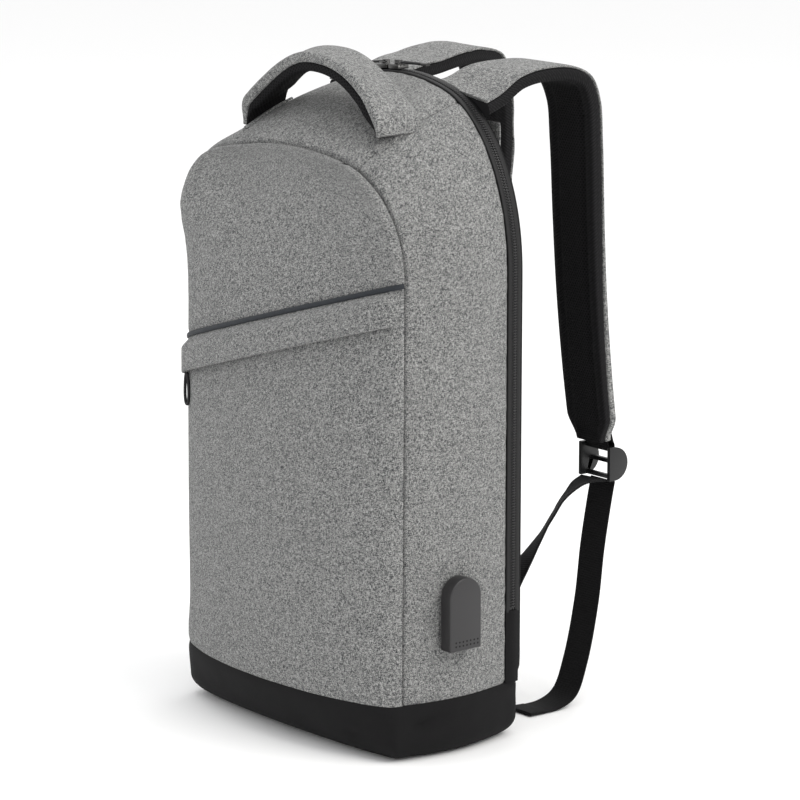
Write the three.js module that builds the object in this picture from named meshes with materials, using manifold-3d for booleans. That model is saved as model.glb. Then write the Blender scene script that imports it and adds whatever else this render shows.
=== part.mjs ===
// Slim laptop backpack with a USB port on its side. Millimetres, +Z up, the front faces -Y, +X is to the
// right as seen from the front. The origin is the middle of the flat underside that the bag stands on.
import * as THREE from 'three';
import { mergeVertices } from 'three/addons/utils/BufferGeometryUtils.js';
import Module from 'manifold-3d';

const wasm = await Module();
wasm.setup();

// ---------- driving dimensions ----------
const GAP = 0.3; // clearance between neighbouring pieces

// body outline: the front seam and the zip line are two closed arches that the gusset joins
// half widths at the base and above it, height of the crown, its radius and half length, shoulder height
const FRONT = { base: 116.5, half: 119, top: 407, crown: 300, flat: 55, shoulder: 330 }; // front seam
const REAR = { base: 117, half: 117.5, top: 450, crown: 175, flat: 50, shoulder: 325 }; // zip line
const SEAM_Y = -48; // plane of the front seam
const ZIP_Y = 49; // plane of the zip's coil
const WALL = 4; // padded fabric wall
const SIDE_BULGE = 7; // how far the side panels swell out
const TOP_BULGE = 8; // how far the top panel swells up
const FRONT_BULGE = 28; // how far the front swells at the base
const BULGE_POWER = 3; // how late the swelling fades towards the top
const ROUND_POWER = 0.6; // how square the swollen front is in plan
const SEAM_S = 1.13; // place round the arch where the side panel meets the top panel

// base
const BAND_HEIGHT = 40;
const BAND_WALL = 3;
const BAND_ROUND = 14; // rounding of the bottom edge
const BAND_TUCK = 19; // how far the front of the band draws in towards the floor
const BOARD_THICK = 3;

// main zip
const TAPE_WIDTH = 3;
const TAPE_THICK = 1.2;
const COIL_WIDTH = 1.9; // one half of the coil
const COIL_THICK = 2.4;
const COIL_PROUD = 0.8;
const SLIDER_GAP = 0.6; // sliders over the coil
const ZIP_END = 90; // height where the zip ends on both sides
const SLIDER = { long: 11, wide: 9, high: 3, bridge: 3 };
const SLIDER_X = [-19, -6]; // where the closed sliders rest on the top stretch
const PULL = { long: 32, wide: 4.5, thick: 2 };

// back panel and harness
const BACK_THICK = 9;
// share of the back's thickness, and how far its edge draws in there
const BACK_INSETS = [[0, 3], [0.4, 6], [0.75, 12], [1, 19]];
const LINING = 1.2;
const MESH_PAD = { thick: 6, inner: 12, outer: 92, low: 98, high: 372 };
const SLEEVE = { half: 100, low: 70, high: 330, depth: 26, wall: 3 };
const SLEEVE_STRAP = { wide: 30, thick: 2, over: 26, above: 6, down: 45 };
const YOKE = { half: 84, low: 396, high: 422, thick: 3 };
const STRAP = { top: 60, mid: 48, low: 42, shell: 6.5, mesh: 5 };
const FULLER = 1.3; // the left strap stands out this much further than the right one
const WEB = { wide: 25, thick: 1.6 };
const LOCK = { x: 76, y: 165, z: 172, wide: 33, radius: 12, cheek: 3, bar: 3 };
const TAB = { x: 82, z: 77, wide: 27, thick: 3, high: 30 };

// front pocket
const PIPING = { mid: 293.2, slope: 0.287, wide: 3.6, stand: 1.6, thick: 3.2 };
const PLACKET = { high: 26, thick: 2, stand: 8, edge: 5.4, root: 2.6 };
const POCKET_ZIP = { drop: 12, coil: 3.6, thick: 1.2, inset: 1, reach: 0.95 };
const POCKET_COIL = { inset: 1.4, thick: 2 };
const POCKET_SLIDER = { long: 10, wide: 8, low: 1.4, high: 3.6, s: -0.84 };
const POCKET_PULL = { long: 22, wide: 8, thick: 2.2, out: 4.8, under: 2.5, room: 0.9 };
const PULL_STEM = { wide: 4, thick: 1.4 };
const POCKET_WALL = 1.5;

// carry handle
const HANDLE = { half: 72, over: 31.6, wide: 38, y: -15, lift: 8.5 };
const HANDLE_CLOTH = { shell: 7, mesh: 3, gap: 1.3 };
const ANCHOR = { thick: 2 };

// USB port
const USB = { y: -8, z: 101.5, wide: 27, high: 50, proud: 10.5 };
const SOCKET = { wide: 12.6, thick: 5.4, deep: 16, shell: 0.5 };

// colours
const GREY = 0x8b8d90;
const BLACK = 0x1b1b1d;
const LINING_GREY = 0x3a3c40;

// ---------- helpers ----------
const V = (x, y, z) => new THREE.Vector3(x, y, z);
const mix = (a, b, t) => a + (b - a) * t;
const rad = THREE.MathUtils.degToRad;
const steps = (n) => Array.from({ length: n + 1 }, (_, i) => i / n);
const pack = new THREE.Group();

function material(color, roughness, metalness = 0) {
  return new THREE.MeshStandardMaterial({ color, roughness, metalness });
}

const cloth = material(GREY, 0.95);
const black = material(BLACK, 0.85);
const meshCloth = material(0x131314, 0.95);
const lining = material(LINING_GREY, 0.8);
const plastic = material(0x2c2c2e, 0.45);
const steel = material(0x8e8e90, 0.35, 1);

function add(name, geometry, mat) {
  const mesh = new THREE.Mesh(geometry, mat);
  mesh.name = name;
  pack.add(mesh);
  return mesh;
}

// a closed geometry from shared points and triangles, turned so that its faces point out
function closed(points, faces) {
  const position = new Float32Array(points.flatMap((p) => [p.x, p.y, p.z]));
  let volume = 0;
  for (const [a, b, c] of faces) {
    volume += points[a].dot(new THREE.Vector3().crossVectors(points[b], points[c]));
  }
  const order = volume > 0 ? faces : faces.map(([a, b, c]) => [a, c, b]);
  const geometry = new THREE.BufferGeometry();
  geometry.setAttribute('position', new THREE.BufferAttribute(position, 3));
  geometry.setIndex(order.flat());
  return geometry;
}

// a plate between two grids of points with the same rows and columns
function plate(outer, inner) {
  const rows = outer.length;
  const cols = outer[0].length;
  const points = [...outer.flat(), ...inner.flat()];
  const at = (side, i, j) => side * rows * cols + i * cols + j;
  const faces = [];
  const quad = (a, b, c, d) => faces.push([a, b, c], [a, c, d]);
  for (let i = 0; i < rows - 1; i += 1) {
    for (let j = 0; j < cols - 1; j += 1) {
      quad(at(0, i, j), at(0, i, j + 1), at(0, i + 1, j + 1), at(0, i + 1, j));
      quad(at(1, i, j), at(1, i + 1, j), at(1, i + 1, j + 1), at(1, i, j + 1));
    }
  }
  for (let i = 0; i < rows - 1; i += 1) {
    quad(at(0, i, 0), at(0, i + 1, 0), at(1, i + 1, 0), at(1, i, 0));
    quad(at(0, i + 1, cols - 1), at(0, i, cols - 1), at(1, i, cols - 1), at(1, i + 1, cols - 1));
  }
  for (let j = 0; j < cols - 1; j += 1) {
    quad(at(0, 0, j + 1), at(0, 0, j), at(1, 0, j), at(1, 0, j + 1));
    quad(at(0, rows - 1, j), at(0, rows - 1, j + 1), at(1, rows - 1, j + 1), at(1, rows - 1, j));
  }
  return closed(points, faces);
}

// a bar through rings of points that all have the same count
function loft(rings) {
  const n = rings[0].length;
  const points = rings.flat();
  const faces = [];
  for (let i = 0; i < rings.length - 1; i += 1) {
    for (let j = 0; j < n; j += 1) {
      const k = (j + 1) % n;
      faces.push([i * n + j, i * n + k, (i + 1) * n + k], [i * n + j, (i + 1) * n + k, (i + 1) * n + j]);
    }
  }
  const last = (rings.length - 1) * n;
  for (let j = 1; j < n - 1; j += 1) {
    faces.push([0, j + 1, j], [last, last + j, last + j + 1]);
  }
  return closed(points, faces);
}

function box(x0, x1, y0, y1, z0, z1) {
  const geometry = new THREE.BoxGeometry(x1 - x0, y1 - y0, z1 - z0);
  return geometry.translate((x0 + x1) / 2, (y0 + y1) / 2, (z0 + z1) / 2);
}

function toSolid(geometry) {
  const bare = geometry.clone();
  bare.deleteAttribute('normal');
  bare.deleteAttribute('uv');
  const merged = mergeVertices(bare, 1e-4);
  const vertProperties = new Float32Array(merged.attributes.position.array);
  const triVerts = new Uint32Array(merged.index.array);
  return new wasm.Manifold(new wasm.Mesh({ numProp: 3, vertProperties, triVerts }));
}

function fromSolid(solid) {
  const { vertProperties, triVerts } = solid.getMesh();
  const geometry = new THREE.BufferGeometry();
  geometry.setAttribute('position', new THREE.BufferAttribute(new Float32Array(vertProperties), 3));
  geometry.setIndex(Array.from(triVerts));
  return geometry;
}

const union = (...parts) => fromSolid(parts.map(toSolid).reduce((a, b) => a.add(b)));
const cut = (body, ...tools) => fromSolid(
  tools.map(toSolid).reduce((a, b) => a.subtract(b), toSolid(body)));

// ---------- outline of the bag ----------
// the corner of an arch: a part of an ellipse that runs on smoothly from the crown
function corner(o) {
  const drop = o.crown - Math.sqrt(o.crown ** 2 - o.flat ** 2);
  const slope = o.flat / Math.sqrt(o.crown ** 2 - o.flat ** 2);
  const wide = o.half - o.flat;
  const high = o.top - drop - o.shoulder;
  const q = slope * wide / high;
  const turn = Math.acos(q / (1 - q));
  return { turn, rx: wide / (1 - Math.cos(turn)), rz: high / Math.sin(turn), low: o.top - drop };
}

// s runs round the arch: -3..-2 up the left side, -2..-1 its corner, -1..1 the top, then down the right
function arch(o, s, low = BAND_HEIGHT + GAP) {
  const a = Math.abs(s);
  const side = s < 0 ? -1 : 1;
  if (a <= 1) {
    const x = a * o.flat;
    return [side * x, o.top - o.crown + Math.sqrt(o.crown ** 2 - x * x)];
  }
  if (a <= 2) {
    const { turn, rx, rz } = corner(o);
    const angle = (2 - a) * turn;
    return [side * (o.half - rx + rx * Math.cos(angle)), o.shoulder + rz * Math.sin(angle)];
  }
  const t = a - 2;
  return [side * mix(o.half, o.base, t), mix(o.shoulder, low, t)];
}

// outward direction across the arch
function archNormal(o, s, low) {
  const e = 1e-3;
  const from = arch(o, s - e, low);
  const to = arch(o, s + e, low);
  const n = V(to[1] - from[1], 0, from[0] - to[0]).normalize();
  const [x, z] = arch(o, s, low);
  return n.x * x + n.z * (z - o.top / 2) < 0 ? n.negate() : n;
}

const GUSSET_FRONT_Y = SEAM_Y + GAP;
const GUSSET_REAR_Y = ZIP_Y - COIL_WIDTH - TAPE_WIDTH - 2.5 * GAP;

// point of the gusset, v from the front seam to the zip, at a depth under its outer face
function gussetPoint(s, v, depth) {
  const f = arch(FRONT, s);
  const r = arch(REAR, s);
  const a = Math.abs(s);
  const topness = THREE.MathUtils.clamp(2 - a, 0, 1);
  const swell = mix(SIDE_BULGE * Math.sin(Math.PI * v), TOP_BULGE * Math.sin(Math.PI * v ** 0.75), topness);
  const n = archNormal(FRONT, s).lerp(archNormal(REAR, s), v).normalize();
  const y = mix(GUSSET_FRONT_Y, GUSSET_REAR_Y, v);
  const z = mix(f[1], r[1], v) + n.z * (swell - depth);
  return V(mix(f[0], r[0], v) + n.x * (swell - depth), y, Math.max(z, BAND_HEIGHT + GAP));
}

const SEAM_STEP = 0.0035; // half of the gap between the top and the side panels, along the arch

function gusset(from, to, count) {
  const across = (s, depth) => steps(6).map((v) => gussetPoint(s, v, depth));
  const face = (depth) => steps(count).map((t) => across(mix(from, to, t), depth));
  return plate(face(0), face(WALL));
}

// a side panel's stations: close together round the corner, wide apart down the straight side
function sideStations(side) {
  const corner = steps(8).map((t) => mix(SEAM_S + SEAM_STEP, 2, t));
  const straight = steps(5).slice(1).map((t) => 2 + t);
  return [...corner, ...straight].map((s) => side * s);
}

function sidePanel(side) {
  const face = (depth) => sideStations(side).map((s) => steps(6).map((v) => gussetPoint(s, v, depth)));
  return plate(face(0), face(WALL));
}

add('gusset_left', sidePanel(-1), cloth);
add('gusset_top', gusset(-SEAM_S + SEAM_STEP, SEAM_S - SEAM_STEP, 12), cloth);

// ---------- front panels ----------
// half width of the front seam at a height
function frontHalf(z) {
  if (z <= FRONT.shoulder) {
    return mix(FRONT.base, FRONT.half, (z - BAND_HEIGHT) / (FRONT.shoulder - BAND_HEIGHT));
  }
  const { rx, rz, low } = corner(FRONT);
  if (z <= low) {
    return FRONT.half - rx + rx * Math.sqrt(1 - ((z - FRONT.shoulder) / rz) ** 2);
  }
  return Math.sqrt(Math.max(0, FRONT.crown ** 2 - (FRONT.crown - FRONT.top + z) ** 2));
}

// height of the front seam above a place across the front
function frontTop(s) {
  const x = Math.abs(s) * FRONT.flat;
  return FRONT.top - FRONT.crown + Math.sqrt(FRONT.crown ** 2 - x * x) - GAP;
}

// how far the front swells forward at a height and a share of the half width
function frontSwell(s, z) {
  const share = (z - BAND_HEIGHT) / (FRONT.top - BAND_HEIGHT);
  const fade = 1 - THREE.MathUtils.clamp(share, 0, 1) ** BULGE_POWER;
  return FRONT_BULGE * fade * Math.max(0, 1 - s * s) ** ROUND_POWER;
}

const slant = (x, drop = 0) => PIPING.mid + PIPING.slope * x - drop;
const across = [-1, -0.985, -0.93, -0.82, -0.65, -0.45, -0.22, 0, 0.22, 0.45, 0.65, 0.82, 0.93, 0.985, 1];

// a front panel between two heights given as functions of s, standing off the seam plane
function frontPlate(lowAt, highAt, rowTs, stand, thick, reach = 1) {
  const face = (off) => rowTs.map((t) => across.map((a) => {
    const s = a * reach;
    const z = mix(lowAt(s), highAt(s), t);
    const half = z > corner(FRONT).low - 1 ? FRONT.flat : frontHalf(z);
    return V(s * half, SEAM_Y - frontSwell(s, z) - off, z);
  }));
  return plate(face(stand + thick), face(stand));
}

const easeOut = (n) => steps(n).map((t) => Math.sin(t * Math.PI / 2));
const slantS = (drop) => (s) => slant(s * FRONT.half, drop);

add('front_panel_upper',
  frontPlate(slantS(-PIPING.wide / 2 - GAP), frontTop, easeOut(9), 0, WALL), cloth);
add('pocket_piping',
  frontPlate(slantS(PIPING.wide / 2), slantS(-PIPING.wide / 2), [0, 1], PIPING.stand, PIPING.thick), black);

// the zip lies behind the placket: an upper tape, a coil and a lower tape, then the pocket's own panel
const COIL_TOP = POCKET_ZIP.drop - POCKET_ZIP.coil / 2;
const COIL_LOW = POCKET_ZIP.drop + POCKET_ZIP.coil / 2;
const TAPE_LOW = COIL_LOW + GAP + 4;
const pocketStrip = (low, high, off, thick) =>
  frontPlate(slantS(low), slantS(high), [0, 1], off, thick, POCKET_ZIP.reach);
add('pocket_zip_tape_upper',
  pocketStrip(COIL_TOP - GAP, PIPING.wide / 2 + GAP, -POCKET_ZIP.inset, POCKET_ZIP.thick), black);
add('pocket_zip_coil', pocketStrip(COIL_LOW, COIL_TOP, -POCKET_COIL.inset, POCKET_COIL.thick), black);
add('pocket_zip_tape_lower',
  pocketStrip(TAPE_LOW, COIL_LOW + GAP, -POCKET_ZIP.inset, POCKET_ZIP.thick), black);
add('front_pocket_panel',
  frontPlate(() => BAND_HEIGHT + GAP, slantS(TAPE_LOW + GAP), steps(6), 0, WALL), cloth);

// the placket is sewn in under the piping and hangs clear of the zip
function placket() {
  const top = PIPING.wide / 2 + GAP;
  const rowTs = [0, 0.5, 0.8, 0.9, 1];
  const sewn = (s) => THREE.MathUtils.smoothstep(Math.abs(s), 0.93, 1);
  const closed = (t) => THREE.MathUtils.smoothstep(t, 0.8, 1);
  const stand = (s, t) => mix(mix(PLACKET.stand, PLACKET.edge, sewn(s)), PLACKET.root, closed(t));
  const face = (extra) => rowTs.map((t) => across.map((s) => {
    const z = mix(slantS(PLACKET.high)(s), slantS(top)(s), t);
    return V(s * (frontHalf(z) - 0.5), SEAM_Y - frontSwell(s, z) - stand(s, t) - extra, z);
  }));
  return plate(face(PLACKET.thick), face(0));
}

add('pocket_placket', placket(), cloth);

// inner wall that closes the pocket off from the main compartment
function pocketWall() {
  const inset = WALL + 1.5;
  const heights = [BAND_HEIGHT + 3, 120, 200, 280, 345];
  const face = (y) => heights.map((z) => [-1, 0, 1].map((s) => V(s * (frontHalf(z) - inset), y, z)));
  return plate(face(GUSSET_FRONT_Y + 1), face(GUSSET_FRONT_Y + 1 + POCKET_WALL));
}

add('front_pocket_wall', pocketWall(), lining);

// ---------- pocket slider and its pull ----------
const COIL_FACE = 0.6; // how far the coil's face stands off the seam plane
const slantDir = V(1, 0, PIPING.slope).normalize();
const slantUp = V(-slantDir.z, 0, slantDir.x);

// a point in front of the pocket zip: along the coil, above it, and out of the panel
function onPocketZip(s, along, above, out, up = slantUp) {
  const x = s * FRONT.half;
  const z = slant(x, POCKET_ZIP.drop);
  const e = 0.02;
  const near = V((s + e) * FRONT.half, -frontSwell(s + e, z), 0);
  const far = V((s - e) * FRONT.half, -frontSwell(s - e, z), 0);
  const lean = near.sub(far).normalize();
  const dir = V(slantDir.x, slantDir.x * lean.y / lean.x, slantDir.z).normalize();
  const face = new THREE.Vector3().crossVectors(dir, up).normalize();
  if (face.y > 0) {
    face.negate();
  }
  const p = V(x, SEAM_Y - frontSwell(s, z) - COIL_FACE, z);
  return p.addScaledVector(dir, along).addScaledVector(up, above).addScaledVector(face, out);
}

function slab(at, a0, a1, b0, b1, c0, c1) {
  const ring = (c) => [at(a0, b0, c), at(a1, b0, c), at(a1, b1, c), at(a0, b1, c)];
  return loft([ring(c0), ring(c1)]);
}

const pocketAt = (a, b, c) => onPocketZip(POCKET_SLIDER.s, a, b, c);
const hangingAt = (a, b, c) => onPocketZip(POCKET_SLIDER.s, a, b, c, V(0, 0, 1));
// the pull starts below the placket's edge
const PULL_TOP = POCKET_ZIP.drop - PLACKET.high - POCKET_PULL.under;

// the slider on the coil, with the stem that carries the pull out from under the placket
function pocketSlider() {
  const halfLong = POCKET_SLIDER.long / 2;
  const halfWide = POCKET_SLIDER.wide / 2;
  const stem = PULL_STEM.wide;
  const { out } = POCKET_PULL;
  const { low, high } = POCKET_SLIDER;
  const body = slab(pocketAt, -halfLong, halfLong, -halfWide, halfWide, low, high);
  const boss = slab(hangingAt, -stem / 2, stem / 2, -2, 2, high - 0.5, out + PULL_STEM.thick);
  const stemLow = PULL_TOP + POCKET_PULL.room;
  const rod = slab(hangingAt, -stem / 2, stem / 2, stemLow, 2, out, out + PULL_STEM.thick);
  return union(body, boss, rod);
}

add('pocket_slider', pocketSlider(), steel);
const pullOut = POCKET_PULL.out + PULL_STEM.thick / 2 - POCKET_PULL.thick / 2;
const pullHalf = POCKET_PULL.wide / 2;
add('pocket_pull',
  slab(hangingAt, -pullHalf, pullHalf, PULL_TOP - POCKET_PULL.long, PULL_TOP,
    pullOut, pullOut + POCKET_PULL.thick), black);

// ---------- base ----------
// plan of the base: the swollen front, the two sides and the straight back with rounded corners
const BACK_FRONT_Y = ZIP_Y + COIL_WIDTH + TAPE_WIDTH + 2.5 * GAP;
const BACK_REAR_Y = BACK_FRONT_Y + BACK_THICK;

function basePlan(z = BAND_HEIGHT) {
  const tuck = BAND_TUCK * (1 - z / BAND_HEIGHT) ** 1.5 / FRONT_BULGE;
  const ahead = (s) => SEAM_Y - WALL - frontSwell(s, BAND_HEIGHT) * (1 - tuck);
  const front = across.map((s) => [s * FRONT.base, ahead(s)]);
  const side = steps(7).slice(1).map((v) => {
    const p = gussetPoint(3, v, 0);
    return [p.x, p.y];
  });
  const rounded = BACK_INSETS.map(([t, inset]) => [REAR.base - inset, mix(BACK_FRONT_Y, BACK_REAR_Y, t)]);
  const right = [...side, ...rounded];
  const left = right.map(([x, y]) => [-x, y]).reverse();
  return [...front, ...right, ...left];
}

// the same plan drawn in by a distance at its widest and at its front and back
function drawnIn(plan, inset) {
  const reach = (k) => [Math.min(...plan.map((p) => p[k])), Math.max(...plan.map((p) => p[k]))];
  const [[x0, x1], [y0, y1]] = [reach(0), reach(1)];
  const shrink = (v, low, high) => mix((low + high) / 2, v, 1 - 2 * inset / (high - low));
  return plan.map(([x, y]) => [shrink(x, x0, x1), shrink(y, y0, y1)]);
}

const planRing = (inset, z) => drawnIn(basePlan(z), inset).map(([x, y]) => V(x, y, z));

function bandProfile() {
  const bend = (angle) => [BAND_ROUND * (1 - Math.sin(angle)), BAND_ROUND * (1 - Math.cos(angle))];
  const arc = steps(4).map((t) => bend(t * Math.PI / 2));
  return [...arc, [0, BAND_HEIGHT * 0.6], [0, BAND_HEIGHT]];
}

const FLOOR_INSET = BAND_ROUND + 8; // where the band ends and the bottom panel begins
const bandInner = BAND_WALL;

// a hollow ring: the outer profile up, then the inner profile down
function baseBand() {
  const outer = bandProfile().map(([inset, z]) => planRing(inset, z));
  const inner = [planRing(bandInner, BAND_HEIGHT), planRing(bandInner, BAND_HEIGHT * 0.6),
    planRing(bandInner + 0.6, BAND_ROUND), planRing(BAND_ROUND, BAND_WALL)];
  const rings = [planRing(FLOOR_INSET, 0), ...outer, ...inner, planRing(FLOOR_INSET, BAND_WALL)];
  const n = rings[0].length;
  const points = rings.flat();
  const faces = [];
  for (let i = 0; i < rings.length; i += 1) {
    const next = (i + 1) % rings.length;
    for (let j = 0; j < n; j += 1) {
      const k = (j + 1) % n;
      faces.push([i * n + j, i * n + k, next * n + k], [i * n + j, next * n + k, next * n + j]);
    }
  }
  return closed(points, faces);
}

// a flat slab in the shape of the plan
function planSlab(inset, low, high) {
  const shape = new THREE.Shape(drawnIn(basePlan(0), inset).map(([x, y]) => new THREE.Vector2(x, y)));
  const geometry = new THREE.ExtrudeGeometry(shape, { depth: high - low, bevelEnabled: false });
  return geometry.translate(0, 0, low);
}

add('base_band', baseBand(), black);
add('base_panel', planSlab(FLOOR_INSET + GAP, 0, BAND_WALL), black);
add('base_board', planSlab(BAND_ROUND + 3, BAND_WALL + GAP, BAND_WALL + GAP + BOARD_THICK), lining);

// ---------- main zip ----------
// a strip that runs round the zip line between two depths, from one end of the zip to the other
function zipStrip(y0, y1, top, thick) {
  const stations = [...steps(5).map((t) => 3 - t), ...steps(8).slice(1).map((t) => 2 - t), 0];
  const all = [...stations, ...stations.slice(0, -1).reverse().map((s) => -s)];
  const rings = all.map((s) => {
    const [x, z] = arch(REAR, s, ZIP_END);
    const n = archNormal(REAR, s, ZIP_END);
    const at = (y, d) => V(x + n.x * d, y, z + n.z * d);
    return [at(y0, top), at(y1, top), at(y1, top - thick), at(y0, top - thick)];
  });
  return loft(rings);
}

const shellCoil = ZIP_Y - COIL_WIDTH - GAP / 2;
const shellTape = shellCoil - GAP - TAPE_WIDTH;
const backCoil = ZIP_Y + GAP / 2;
const backTape = backCoil + COIL_WIDTH + GAP;
add('zip_tape_shell', zipStrip(shellTape, shellTape + TAPE_WIDTH, 0, TAPE_THICK), black);
add('zip_coil_shell', zipStrip(shellCoil, shellCoil + COIL_WIDTH, COIL_PROUD, COIL_THICK), black);

// fabric patch that closes the side below each end of the zip
function zipEnd(side) {
  const rows = [BAND_HEIGHT + GAP, ZIP_END - GAP];
  const rise = (z) => (z - BAND_HEIGHT) / (REAR.shoulder - BAND_HEIGHT);
  const x = (z, depth) => side * (mix(REAR.base, REAR.half, rise(z)) - depth);
  const ys = [GUSSET_REAR_Y + GAP, BACK_FRONT_Y - GAP];
  const face = (depth) => rows.map((z) => ys.map((y) => V(x(z, depth), y, z)));
  return plate(face(0), face(TAPE_THICK * 2));
}

add('zip_end_left', zipEnd(-1), black);
add('zip_end_right', zipEnd(1), black);

// ---------- zip sliders and pulls ----------
// the sliders run along the crown of the zip line, an arc about the axis through its centre
const SLIDER_LOW = REAR.top + COIL_PROUD + SLIDER_GAP;
const PLATE_TOP = SLIDER_LOW + SLIDER.high;
const BRIDGE = { half: 3, wall: 1.4, bar: 1.2 };
const PULL_Z = PLATE_TOP + BRIDGE.bar;

// turns a piece made at the top of the crown round to its place along it
function alongCrown(geometry, x) {
  const centre = REAR.top - REAR.crown;
  return geometry.translate(0, 0, -centre).rotateY(Math.asin(x / REAR.crown)).translate(0, 0, centre);
}

// a slider's plate with a hollow bridge that its pull turns in
function slider() {
  const half = SLIDER.long / 2;
  const halfWide = SLIDER.wide / 2;
  const body = box(-half, half, ZIP_Y - halfWide, ZIP_Y + halfWide, SLIDER_LOW, PLATE_TOP);
  const top = PLATE_TOP + SLIDER.bridge;
  const loop = box(-BRIDGE.half, BRIDGE.half, ZIP_Y - 1.2, ZIP_Y + 1.2, PLATE_TOP - 1, top);
  const eye = BRIDGE.half - BRIDGE.wall;
  const hole = box(-eye, eye, ZIP_Y - 2, ZIP_Y + 2, PLATE_TOP, top - 0.8);
  return cut(union(body, loop), hole);
}

// a pull: an eye whose bar passes through the bridge, and a flat tail that lies along the zip
function pull(dir) {
  const across = BRIDGE.bar / 2;
  const span = (a, b) => [a * dir, b * dir].sort((p, q) => p - q);
  const strip = ([x0, x1], y0, y1, high) => box(x0, x1, y0, y1, PULL_Z - across, PULL_Z - across + high);
  const arm = (y) => strip(span(-across, 7), ZIP_Y + y, ZIP_Y + y + BRIDGE.bar, BRIDGE.bar);
  const arms = [-2.8, 1.6].map(arm);
  const bar = strip([-across, across], ZIP_Y - 2.8, ZIP_Y + 2.8, BRIDGE.bar);
  const tail = strip(span(5, PULL.long), ZIP_Y - PULL.wide / 2, ZIP_Y + PULL.wide / 2, PULL.thick);
  return union(...arms, bar, tail);
}

const hands = [['left', -1], ['right', 1]];
for (const [i, [hand, side]] of hands.entries()) {
  add(`main_slider_${hand}`, alongCrown(slider(), SLIDER_X[i]), steel);
  add(`main_pull_${hand}`, alongCrown(pull(side), SLIDER_X[i]), black);
}

// ---------- carry handle ----------
// height of the seams between the top and the side panels, halfway along the handle's width
const topZ = (s, y) => gussetPoint(s, (y - GUSSET_FRONT_Y) / (GUSSET_REAR_Y - GUSSET_FRONT_Y), 0).z;
const seamZ = (y) => topZ(SEAM_S, y);
const HANDLE_SEAM_Z = seamZ(HANDLE.y);
const HANDLE_RISE = topZ(0, HANDLE.y) + HANDLE.over - HANDLE_SEAM_Z - HANDLE.lift;
const HANDLE_SLOPE = (seamZ(HANDLE.y + HANDLE.wide / 2) - seamZ(HANDLE.y - HANDLE.wide / 2)) / HANDLE.wide;

// a point on the handle's arch: 0 at its left end, half a turn at its right end
function onHandle(turn) {
  const rise = HANDLE_RISE * Math.sin(turn) ** 2;
  return V(-HANDLE.half * Math.cos(turn), 0, HANDLE_SEAM_Z + HANDLE.lift + rise);
}

// the handle's section at a share of the arch, between two heights over its line
function handleRing(t, top, bottom, halfWidth) {
  const turn = Math.PI * t;
  const c = onHandle(turn);
  const next = onHandle(turn + 0.02);
  const prev = onHandle(turn - 0.02);
  const along = t === 0 ? V(0, 0, 1) : t === 1 ? V(0, 0, -1) : next.sub(prev).normalize();
  const n = V(-along.z, 0, along.x);
  const lean = HANDLE_SLOPE * (1 - Math.sin(turn)) ** 2;
  const at = (y, d) => V(c.x + n.x * d, HANDLE.y + y, c.z + n.z * d + lean * y);
  const r = 2;
  return [at(-halfWidth, bottom), at(-halfWidth, top - r), at(-halfWidth + r, top), at(halfWidth - r, top),
    at(halfWidth, top - r), at(halfWidth, bottom)];
}

const archSteps = steps(18);
const handleLayer = (top, bottom, half) => loft(archSteps.map((t) => handleRing(t, top, bottom, half)));
add('carry_handle', handleLayer(HANDLE_CLOTH.shell, 0, HANDLE.wide / 2), cloth);
const meshTop = -HANDLE_CLOTH.gap;
add('carry_handle_mesh', handleLayer(meshTop, meshTop - HANDLE_CLOTH.mesh, HANDLE.wide / 2 - 1), meshCloth);

// sewn-down ends of the handle, lying on the seams between the top and the side panels
function handleAnchor(side) {
  const at = (a, y, up) => {
    const v = (y - GUSSET_FRONT_Y) / (GUSSET_REAR_Y - GUSSET_FRONT_Y);
    const s = side * (SEAM_S + a);
    return gussetPoint(s, v, -GAP - up);
  };
  const spots = steps(4).map((t) => mix(HANDLE.y - HANDLE.wide / 2, HANDLE.y + HANDLE.wide / 2, t));
  const reach = [-0.05, 0, 0.05];
  const face = (up) => spots.map((y) => reach.map((a) => at(a, y, up)));
  return plate(face(ANCHOR.thick), face(0));
}

add('handle_anchor_left', handleAnchor(-1), cloth);
add('handle_anchor_right', handleAnchor(1), cloth);

// ---------- back panel ----------
// outline of the zip line drawn in by an inset, as a ring at a depth
function backRing(inset, low, y) {
  const stations = [3, 2.5, ...steps(8).map((t) => 2 - t), 0.5];
  const right = stations.map((s) => {
    const [x, z] = arch(REAR, s, low);
    const n = archNormal(REAR, s, low);
    return V(x - n.x * inset, y, s === 3 ? low : z - n.z * inset);
  });
  const left = right.map((p) => V(-p.x, y, p.z)).reverse();
  return [...right, V(0, y, REAR.top - inset), ...left];
}

const backPlate = (inset, low, y0, y1) => loft([backRing(inset, low, y0), backRing(inset, low, y1)]);

const BACK_LOW = BAND_HEIGHT + 2;
const backDepth = (t) => mix(BACK_FRONT_Y, BACK_REAR_Y, t);
const backEdge = BACK_INSETS.map(([t, inset]) => backRing(inset, BACK_LOW, backDepth(t)));
add('back_panel', loft(backEdge), black);
add('back_lining', backPlate(8, BACK_LOW + 6, BACK_FRONT_Y - GAP - LINING, BACK_FRONT_Y - GAP), lining);
add('zip_tape_back', zipStrip(backTape, backTape + TAPE_WIDTH, 0, TAPE_THICK), black);
add('zip_coil_back', zipStrip(backCoil, backCoil + COIL_WIDTH, COIL_PROUD, COIL_THICK), black);

const PAD_Y = BACK_REAR_Y + GAP;
for (const [hand, side] of hands) {
  const xs = [side * MESH_PAD.inner, side * MESH_PAD.outer].sort((a, b) => a - b);
  const pad = box(xs[0], xs[1], PAD_Y, PAD_Y + MESH_PAD.thick, MESH_PAD.low, MESH_PAD.high);
  add(`back_mesh_${hand}`, pad, meshCloth);
}

add('strap_yoke', box(-YOKE.half, YOKE.half, PAD_Y, PAD_Y + YOKE.thick, YOKE.low, YOKE.high), cloth);

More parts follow.
